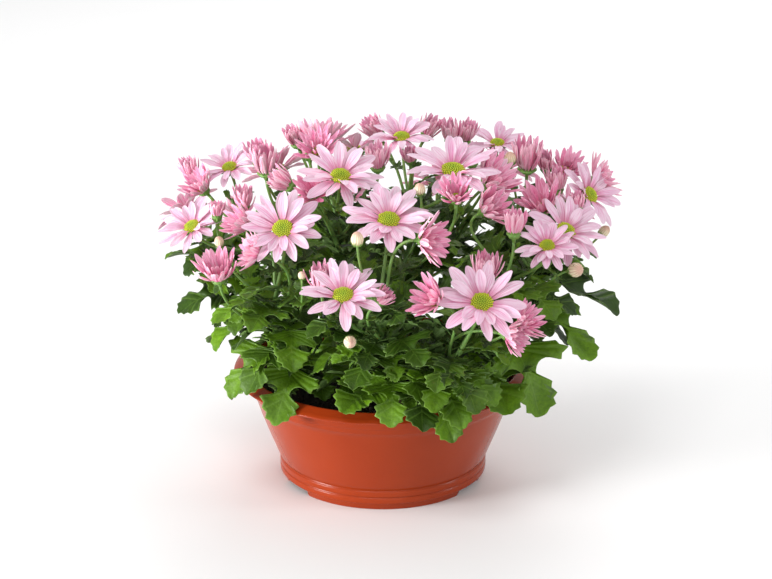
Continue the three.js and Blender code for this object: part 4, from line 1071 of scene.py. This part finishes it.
draw = np.random.default_rng(57)
for branch in branches:
    paths = [(curve_points(branch.stalk(head), STALK_STEPS), STALK_LEAVES) for head in branch.heads]
    paths.append((np.array([branch.at(s) for s in np.linspace(0, 1, STALK_STEPS)]), BRANCH_LEAVES))
    parts = []
    for leaf in low_leaves(branch, draw):
        leaf.roll = draw.uniform(-LARGE_ROLL, LARGE_ROLL)
        parts.append(leaf_part(leaf, draw.uniform(*LOW_LEAF_TONES), draw, SMALL_MESH))
    for path, places in paths:
        turn = draw.uniform(0, TURN)
        for share, length in places:
            for _ in range(PLACES_TRIED):
                turn += np.radians(GOLDEN_ANGLE)
                leaf = small_leaf(path, share, length, turn, draw)
                if has_room(leaf) and not hits_head(leaf):
                    tone = draw.uniform(*SMALL_TONES) ** MOSTLY_DARK
                    narrow = SMALL_NARROWEST + SMALL_WIDENING * length
                    parts.append(leaf_part(leaf, tone, draw, SMALL_MESH, narrow))
                    break
    add_leaves(f"small_leaves_{branch.name}", parts, leaf_material)


# The petals
# Long soft ray petals, pale pink with fine deeper lines along them, deeper pink at the base and on
# the back. They grow in rings round the disc: flat in a full bloom, upright in a young one, and
# closed to a cup in the youngest.

DISC_SHARE = 0.23
HUB_EDGE = 0.8
PETALS = 13
BACK_PETALS = 11
INNER_PETALS = 9
DISC_SEEN_TO = (150, 25)
PETAL_SHORTEST = 0.92
PETAL_LENGTH_RANGE = 0.14
PETAL_RISE = 14.0
PETAL_SPREAD = 7.0
PETAL_RISE_RANGE = 6.0
PETAL_WIDTH = 0.134
PETAL_WIDTHS = (0.86, 1.1)
PETAL_FOOT = 0.7
OUTER_RISE = 0.15
INNER_RISE = 1.1
RING_RISE = 0.35
PETAL_THICK = 0.3
WIDE_MESH = (12, 3)
NARROW_MESH = (8, 2)

# How a petal departs from a plain strip: shares of its length or half width, and degrees.
WIDEST_AT = 0.58
TAPER_FROM = 0.54
BLUNTNESS = (1.6, 2.7)
TIP_NOTCH = 0.05
GROOVE = 0.035
RIPPLE = 0.09
SIDE_BEND = 0.05
SLOPE_SWAY = 7.0
TWIST = 0.22


def midlines(head, angle, start, rise, slope, step):
    """Midlines that leave the head's axis at the angles: their points are the sums of (cos, sin) of
    the slope times the step. Also the directions along them: outward, level and normal."""
    outward, level = (way[:, None] for way in head.directions(angle))
    radius = (start + np.cumsum(np.cos(slope) * step, 1))[..., None]
    height = (rise + np.cumsum(np.sin(slope) * step, 1))[..., None]
    middle = head.base + radius * outward + height * head.axis
    normal = np.cos(slope)[..., None] * head.axis - np.sin(slope)[..., None] * outward
    return middle, outward, level, normal


def petal_ring(head, angle, draw, start, rise, length, half_width, slopes, channel, mesh,
               neck=0.42, wild=1.0, young=0.0):
    """A ring of petals, one for each angle; every other value is one number or one per petal. A
    midline's slope goes from the first of slopes to the second. Across it lies the width times s,
    and the channel s^2 deep."""
    count, (rows, half) = len(angle), mesh

    def each(value):
        return np.broadcast_to(np.asarray(value, float), (count,))[:, None]

    t = 1 - (1 - np.linspace(0, 1, rows)[None, :]) ** 1.5
    s = np.sin(np.linspace(-1, 1, 2 * half + 1) * np.pi / 2)
    low, high = (np.radians(each(value)) for value in slopes)
    slope = low + (high - low) * t**0.8
    slope = slope + np.radians(SLOPE_SWAY * wild) * np.sin(4 * t + each(draw.uniform(0, TURN, count)))
    step = np.diff(t, axis=1, prepend=0.0) * each(length)
    middle, outward, level, normal = midlines(head, angle, each(start), each(rise), slope, step)
    bend = each(draw.normal(0, SIDE_BEND * wild, count)) * t**2 * each(length)
    middle = middle + bend[..., None] * level
    swell = np.clip(t / WIDEST_AT, 0, 1)
    width = each(half_width) * (neck + (1 - neck) * swell**2 * (3 - 2 * swell))
    to_tip = np.clip(t - TAPER_FROM, 0, 1) / (1 - TAPER_FROM)
    blunt = each(draw.uniform(*BLUNTNESS, count))
    width = (width * np.clip(1 - to_tip**blunt, 0.001, 1) ** 0.7)[..., None]
    forward = np.cos(slope)[..., None] * outward + np.sin(slope)[..., None] * head.axis
    twist = (each(draw.normal(0, TWIST * wild, count)) * t)[..., None]
    flat = level
    level = np.cos(twist) * flat + np.sin(twist) * normal
    normal = np.cos(twist) * normal - np.sin(twist) * flat
    groove = GROOVE * np.cos(3 * np.pi * s) * np.sin(np.pi * t)[..., None]
    waves = np.sin(13 * t + each(draw.uniform(0, TURN, count)))[..., None]
    lift = width * (each(channel)[..., None] * s**2 + RIPPLE * wild * s**2 * waves + groove)
    notch = TIP_NOTCH * each(length)[..., None] * np.sin(s * np.pi) ** 2 * (t**12)[..., None]
    upper = middle[:, :, None] + (width * s)[..., None] * level[:, :, None]
    upper = upper + lift[..., None] * normal[:, :, None] - notch[..., None] * forward[:, :, None]
    thick = PETAL_THICK * (0.35 + 0.65 * (1 - s**2)) * (1 - 0.6 * t[0][:, None] ** 3)
    lower = upper - thick[None, ..., None] * normal[:, :, None]
    points, quads = closed_skins(upper, lower)
    return points, quads, skin_maps(t[0], s, s, young + draw.uniform(0, 1, count))


def own_disc(head):
    right, back = DISC_SEEN_TO
    return head.kind == "open" and head.place[0] < right and head.place[1] < back


def open_petals(head, draw):
    """Petals at the solid's own angles and slopes, then shorter, steeper ones before some gaps."""
    numbers = randoms(head.seed)
    count = PETALS if own_disc(head) else BACK_PETALS
    hub = DISC_SHARE * head.size + HUB_EDGE
    phase = next(numbers) * TURN
    length, slope = np.empty(count), np.empty(count)
    for i in range(count):
        length[i] = (head.size - hub) * (PETAL_SHORTEST + PETAL_LENGTH_RANGE * next(numbers))
        spread = PETAL_SPREAD if i % 2 else -PETAL_SPREAD
        slope[i] = PETAL_RISE + spread + PETAL_RISE_RANGE * (next(numbers) - 0.5)
    angle = phase + TURN * (np.arange(count) + 0.5 + draw.uniform(-0.12, 0.12, count)) / count
    wide = PETAL_WIDTH * head.size * draw.uniform(*PETAL_WIDTHS, count)
    start = PETAL_FOOT * hub
    longer = (hub - start) + length
    slopes = (slope + 10, slope - 16)
    outer = petal_ring(head, angle, draw, start, OUTER_RISE, longer, wide, slopes, 0.22, WIDE_MESH)
    gaps = draw.permutation(count)[:INNER_PETALS]
    between = angle[gaps] + TURN / count * draw.uniform(0.3, 0.7, INNER_PETALS)
    shorter = longer[gaps] * draw.uniform(0.66, 0.94, INNER_PETALS)
    slopes = (slope[gaps] + 28, slope[gaps] + 2)
    narrower = 0.9 * wide[gaps]
    inner = petal_ring(head, between, draw, start, INNER_RISE, shorter, narrower, slopes, 0.28, WIDE_MESH)
    return [outer, inner]


def upright_petals(head, draw, rings, reach, channel, neck, wild, sway):
    """Rings of narrow petals, each ring steeper than the one outside it. A ring is its count, then
    shares for start, length and half width, then the slopes at foot and tip."""
    phase = next(randoms(head.seed)) * TURN
    parts = []
    for count, start, tall, wide, low, high in rings:
        angle = phase + TURN * (np.arange(count) + draw.uniform(-0.16, 0.16, count)) / count
        lean = draw.uniform(-sway, sway, count)
        length = tall * head.size * draw.uniform(0.88, 1.03, count)
        rise = 0.4 + RING_RISE * len(parts)
        slopes = (low + 0.6 * lean, high + 1.2 * lean)
        parts.append(petal_ring(head, angle, draw, start * reach, rise, length, wide * reach, slopes,
                                channel, NARROW_MESH, neck, wild, 1.0))
        phase += 0.5 * TURN / count
    return parts


def half_open_petals(head, draw):
    """Three rings that spread to a funnel, more or less opened."""
    opened = draw.uniform(-8, 6)
    rings = [
        (14, 0.2, 1.24, 0.14, 24 + opened, 60 + opened),
        (12, 0.17, 1.1, 0.13, 40 + opened, 73 + opened),
        (8, 0.12, 0.8, 0.11, 58, 86),
    ]
    return upright_petals(head, draw, rings, head.size, channel=0.42, neck=0.6, wild=1.0, sway=9)


def cup_petals(head, draw):
    """Three rings that stand upright and lean together at their tips."""
    rings = [
        (15, 0.46, 1.03, 0.21, 49, 90),
        (12, 0.36, 1.0, 0.2, 58, 95),
        (6, 0.2, 0.86, 0.22, 72, 98),
    ]
    reach = 0.36 * head.size + 1.5
    return upright_petals(head, draw, rings, reach, channel=0.5, neck=0.66, wild=0.8, sway=11)


def petal_finish():
    glow = {"Subsurface_Weight": 0.2, "Subsurface_Radius": (1.0, 0.5, 0.7), "Subsurface_Scale": 0.003}
    finish = Finish("petal_flesh", 0.6, **glow)
    along, across = finish.layer("petal")
    tone, face = finish.layer("tone")
    far = finish.math("MULTIPLY", along, 1.1)
    wide = finish.math("MULTIPLY", across, 13.0)
    apart = finish.math("MULTIPLY", tone, 90.0)
    strip = finish.node("ShaderNodeCombineXYZ", {0: far, 1: wide, 2: apart}).outputs[0]
    lines = finish.ramp(finish.noise(1.0, 1.5, strip), 0.46, 0.62)
    middle = finish.ramp(finish.away(across, 0.5), 0.2, 0.5, 1.0, 0.35)
    fading = finish.ramp(along, 0.1, 1.0, 1.0, 0.45)
    strength = finish.math("MULTIPLY", finish.math("MULTIPLY", lines, fading), middle)
    young = finish.ramp(tone, 1.0, 1.02)
    own = finish.math("FRACT", tone)
    pale = finish.mix(own, (0.79, 0.59, 0.7), (0.77, 0.5, 0.65))
    blush = finish.mix(own, (0.9, 0.52, 0.68), (0.84, 0.29, 0.48))
    pale = finish.mix(young, pale, blush)
    lined = finish.mix(strength, pale, finish.mix(young, (0.66, 0.2, 0.4), (0.68, 0.05, 0.2)))
    upper = finish.mix(finish.ramp(along, 0.0, 0.4, 0.75, 0.0), lined, (0.62, 0.07, 0.22))
    back = finish.mix(own, (0.93, 0.6, 0.7), (0.84, 0.33, 0.47))
    under = finish.mix(lines, back, (0.76, 0.1, 0.26))
    under = finish.mix(finish.ramp(along, 0.5, 1.0, 0.0, 0.5), under, (0.92, 0.66, 0.74))
    finish.colour(finish.mix(face, upper, under))
    finish.bump(lines, 0.35, 0.0003)
    return finish.material


def node_of(head):
    """The petal node that holds a head: its own, or the nearest, which it is one body with."""
    own_name = f"petals_{head.name}"
    if own_name in node_points:
        return own_name
    inside = head.base + 3 * head.axis
    return min(node_points, key=lambda one: np.linalg.norm(node_points[one] - inside, axis=1).min())


MAKERS = {"open": open_petals, "half": half_open_petals, "cup": cup_petals}
petal_material = petal_finish()
petal_nodes = sorted(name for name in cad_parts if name.startswith("petals_"))
node_points = {name: vertices_of(name) for name in petal_nodes}
shared = {name: [] for name in petal_nodes}
for head in heads:
    if head.kind in MAKERS:
        shared[node_of(head)].append(head)
for name, own_heads in shared.items():
    draw = np.random.default_rng(sum(head.seed for head in own_heads))
    points, quads, maps = gathered([part for head in own_heads for part in MAKERS[head.kind](head, draw)])
    layers = {"petal": maps[:, :2], "tone": maps[:, 2:]}
    petals = add_mesh(name.replace("petals_", "pink_"), points * MM, [quads], petal_material, layers)
    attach(petals, "root")
    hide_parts(name)


# The discs
# The lime green middle of a bloom: small closed florets packed in spirals on a low dome, a little
# greener in the centre, standing on the green base of the head.

FLORET_SIDES = 5
OPEN_FLORETS = 105
HALF_OPEN_FLORETS = 40
OPEN_DISC_RISE = 0.65
HALF_DISC_SHARE = 0.25
HALF_DISC_RISE = 0.14
DOME_SIDES = 24
DOME_SCALE = 7.4
DOME_RISE = 2.5

# Rings of a floret and of the dome under the florets: radius, then height.
FLORET_RINGS = np.array([(0.02, 0.0), (0.54, 0.1), (0.4, 0.75), (0.02, 0.92)])
DOME_RINGS = np.array([
    (0.02, 0.0), (0.5, 0.0), (0.96, 0.1), (1.0, 0.5), (0.86, 1.5), (0.55, 2.3), (0.02, 2.7),
])


def disc_florets(head, radius, rise, count):
    """Floret n stands at angle n * golden angle, radius R sqrt(n / N), on a dome; each is a small
    turned knob whose rings shrink to its tip."""
    n = np.arange(count) + 0.5
    share = np.sqrt(n / count)
    height = rise + radius / DOME_SCALE * DOME_RISE * (1 - share**2.6) + 0.25
    foot = head.point(0.97 * share * radius, n * np.radians(GOLDEN_ANGLE), height)
    outward = unit(foot - head.point(0.0, 0.0, rise - 1.1 * radius))
    side = unit(np.cross(outward, head.third))
    third = np.cross(outward, side)
    turn = TURN * np.arange(FLORET_SIDES)[:, None] / FLORET_SIDES
    ring = np.cos(turn) * side[:, None] + np.sin(turn) * third[:, None]
    size = 1.75 * radius / np.sqrt(count) * (0.85 + 0.3 * share)
    wide, tall = FLORET_RINGS.T[..., None, None]
    shaped = wide * ring[:, None] + tall * outward[:, None, None]
    points = foot[:, None, None] + size[:, None, None, None] * shaped
    quads = grid_quads(len(FLORET_RINGS), FLORET_SIDES, True)
    out, up, _ = np.broadcast_arrays(share[:, None, None], tall[..., 0], points[..., 0])
    maps = np.stack([out, up], -1).reshape(-1, 2)
    return points.reshape(-1, 3), repeated(quads, count, len(FLORET_RINGS) * FLORET_SIDES), maps


def disc_dome(head, radius, rise):
    """A closed dome under the florets: rings of radius R and height, drawn together at both ends."""
    angle = TURN * np.arange(DOME_SIDES) / DOME_SIDES
    out, up = DOME_RINGS[:, :1], DOME_RINGS[:, 1:]
    points = head.point(out * radius, angle, rise + radius / DOME_SCALE * up)
    maps = np.stack(np.broadcast_arrays(out, 0.0 * angle), -1)
    return points.reshape(-1, 3), grid_quads(len(DOME_RINGS), DOME_SIDES, True), maps.reshape(-1, 2)


def disc_finish():
    finish = Finish("disc_florets", 0.65, Subsurface_Weight=0.05)
    out, up = finish.layer("floret")
    low = finish.mix(out, (0.2, 0.3, 0.01), (0.24, 0.27, 0.01))
    tip = finish.mix(finish.ramp(out, 0.1, 1.0), (0.42, 0.58, 0.03), (0.6, 0.62, 0.025))
    finish.colour(finish.mix(finish.ramp(up, 0.0, 0.7), low, tip))
    return finish.material


disc_material = disc_finish()
for head in heads:
    if head.kind == "open":
        radius, rise, count = DISC_SHARE * head.size, OPEN_DISC_RISE, OPEN_FLORETS
    elif head.kind == "half":
        radius, rise, count = HALF_DISC_SHARE * head.size, HALF_DISC_RISE * head.size, HALF_OPEN_FLORETS
    else:
        continue
    points, quads, maps = gathered([disc_dome(head, radius, rise), disc_florets(head, radius, rise, count)])
    disc = add_mesh(f"florets_{head.name}", points * MM, [quads], disc_material, {"floret": maps})
    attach(disc, "root")
    if f"disc_{head.name}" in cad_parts:
        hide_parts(f"disc_{head.name}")


# The calyxes and the buds
# Green cups of narrow overlapping scales under every head, and the closed buds: round, green, with
# scales round the foot and pale petal tips just showing at the top.

SCALE_ROWS = 5
SCALE_RINGS = 2
OPEN_SCALES = 12
CUP_SCALES = 10
BUD_SCALES = 9
BUD_TIPS = 14
BUD_TIP_MESH = (10, 2)
CALYX_SIDES = 14


def scale_ring(head, draw, count, turned_by, start, rise, length, half_width, slopes, channel):
    """A ring of small pointed scales on midlines that bend as a petal's do, from the first of slopes
    to the second. The width falls to a point, and the channel is a share of it deep."""
    t = np.linspace(0, 1, SCALE_ROWS)[None, :]
    s = np.array([-1.0, 0.0, 1.0])
    low, high = slopes
    slope = np.radians(low + (high - low) * t + draw.uniform(-6, 6, count)[:, None])
    step = np.diff(t, axis=1, prepend=0.0) * length * draw.uniform(0.88, 1.12, count)[:, None]
    angle = turned_by + TURN * np.arange(count) / count
    middle, _, level, normal = midlines(head, angle, start, rise, slope, step)
    width = half_width * np.clip(1 - t**2.4, 0.03, 1)[..., None]
    upper = middle[:, :, None] + (width * s)[..., None] * level[:, :, None]
    upper = upper + (channel * width * s**2)[..., None] * normal[:, :, None]
    thick = (0.12 + 0.25 * (1 - s**2)) * (1 - 0.7 * t[0][:, None])
    points, quads = closed_skins(upper, upper - thick[None, ..., None] * normal[:, :, None])
    maps = skin_maps(t[0], s, s, draw.uniform(0, 1, count))
    return points, quads, maps[:, [0, 2]]


def turned_about(head, line):
    """A closed turned body on the head's axis: rings of (radius, height), drawn together at the ends."""
    line = np.array(line)
    line = np.concatenate([line[:1] * [CLOSED_END, 1.0], line, line[-1:] * [CLOSED_END, 1.0]])
    angle = TURN * np.arange(CALYX_SIDES) / CALYX_SIDES
    points = head.point(line[:, :1], angle, line[:, 1:])
    along = np.linspace(0, 1, len(line))[:, None]
    maps = np.stack(np.broadcast_arrays(along, 0.5 + 0.0 * angle), -1)
    return points.reshape(-1, 3), grid_quads(len(line), CALYX_SIDES, True), maps.reshape(-1, 2)


def open_calyx(head, draw):
    """A bloom's flat green foot, and rings of scales that spread under its petals."""
    wide = 0.2 * head.size
    line = [(1.3, -6.0), (1.9, -5.0), (0.7 * wide, -3.2), (wide, -1.2), (0.9 * wide, -0.3)]
    parts = [turned_about(head, line)]
    for ring in range(SCALE_RINGS):
        turned_by = 0.26 * ring + draw.uniform(0, 1)
        start, rise = 1.8 + 0.2 * ring * wide, -5.2 + 1.5 * ring
        length, half_width = (1.15 + 0.2 * ring) * wide, 0.2 * wide + 0.4
        slopes = (48 - 16 * ring, 14 - 6 * ring)
        parts.append(scale_ring(head, draw, OPEN_SCALES, turned_by, start, rise, length, half_width,
                                slopes, 0.5))
    return parts


def cup_calyx(head, draw):
    """A cup's round green foot, and rings of scales that stand up round its petals."""
    wide = (0.3 * head.size + 1.2) if head.kind == "cup" else 0.36 * head.size
    line = [(1.2, -6.0), (1.6, -4.0), (0.55 * wide, -1.6), (0.84 * wide, 0.6), (0.5 * wide, 1.6)]
    parts = [turned_about(head, line)]
    for ring in range(SCALE_RINGS):
        turned_by = 0.32 * ring + draw.uniform(0, 1)
        start, rise = 0.22 * wide + 0.9, -3.6 + 1.5 * ring
        length, half_width = 0.9 * wide + 2.4 * ring, 0.26 * wide
        slopes = (34 + 12 * ring, 78 + 6 * ring)
        parts.append(scale_ring(head, draw, CUP_SCALES, turned_by, start, rise, length, half_width,
                                slopes, 0.35))
    return parts


def bud_parts(head, draw):
    """A bud's round body, and rings of scales that curve up over its foot."""
    tall = head.size
    wide = 0.5 * tall
    line = [
        (1.3, -1.5), (0.5 * wide, -0.8), (0.75 * wide, 0.12 * tall), (0.82 * wide, 0.35 * tall),
        (0.78 * wide, 0.6 * tall), (0.5 * wide, 0.78 * tall), (0.16 * wide, 0.82 * tall),
    ]
    parts = [turned_about(head, line)]
    for ring in range(SCALE_RINGS):
        start, rise = 0.4 * wide, -1.2 + 0.06 * ring * tall
        length, half_width = (0.4 + 0.12 * ring) * tall, 0.28 * wide
        slopes = (12 + 8 * ring, 82 + 8 * ring)
        parts.append(scale_ring(head, draw, BUD_SCALES, 0.35 * ring, start, rise, length, half_width,
                                slopes, 0.3))
    return parts


def bud_tips(head, draw):
    """Closed petals round a bud, out from its foot, over its shoulder and in to a small hole."""
    tall = head.size
    wide = 0.5 * tall
    angle = TURN * np.arange(BUD_TIPS) / BUD_TIPS
    return petal_ring(head, angle, draw, 0.5 * wide, -0.04 * tall, 1.28 * tall, 0.2 * wide,
                      (28.0, 152.0), -0.25, BUD_TIP_MESH, neck=0.8, wild=0.1)


def bud_finish():
    finish = Finish("bud_cream", 0.5, Subsurface_Weight=0.08)
    along, across = finish.layer("petal")
    cream = finish.mix(finish.ramp(along, 0.05, 0.35), (0.3, 0.42, 0.09), (0.84, 0.76, 0.5))
    rose = finish.mix(finish.ramp(along, 0.45, 0.9, 0.0, 0.55), cream, (0.76, 0.38, 0.36))
    edge = finish.ramp(finish.away(across, 0.5), 0.25, 0.45, 0.0, 0.6)
    finish.colour(finish.mix(edge, rose, (0.55, 0.24, 0.18)))
    return finish.material


def calyx_finish():
    finish = Finish("calyx_green", 0.5, Subsurface_Weight=0.05)
    along, tone = finish.layer("scale")
    green = finish.mix(tone, (0.1, 0.24, 0.035), (0.2, 0.36, 0.07))
    green = finish.mix(finish.ramp(along, 0.75, 1.0, 0.0, 0.5), green, (0.36, 0.3, 0.12))
    finish.colour(green)
    finish.bump(finish.noise(700.0, 2.0), 0.3, 0.0003)
    return finish.material


CALYX_MAKERS = {"open": open_calyx, "half": cup_calyx, "cup": cup_calyx, "bud": bud_parts}
calyx_material = calyx_finish()
bud_material = bud_finish()
draw = np.random.default_rng(41)
for branch in branches:
    parts, tips = [], []
    for head in branch.heads:
        parts += CALYX_MAKERS[head.kind](head, draw)
        if head.kind == "bud":
            tips.append(bud_tips(head, draw))
    points, quads, maps = gathered(parts)
    calyxes = add_mesh(f"calyxes_{branch.name}", points * MM, [quads], calyx_material, {"scale": maps})
    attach(calyxes, "root")
    if tips:
        points, quads, maps = gathered(tips)
        layers = {"petal": maps[:, :2], "tone": maps[:, 2:]}
        showing = add_mesh(f"bud_tips_{branch.name}", points * MM, [quads], bud_material, layers)
        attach(showing, "root")
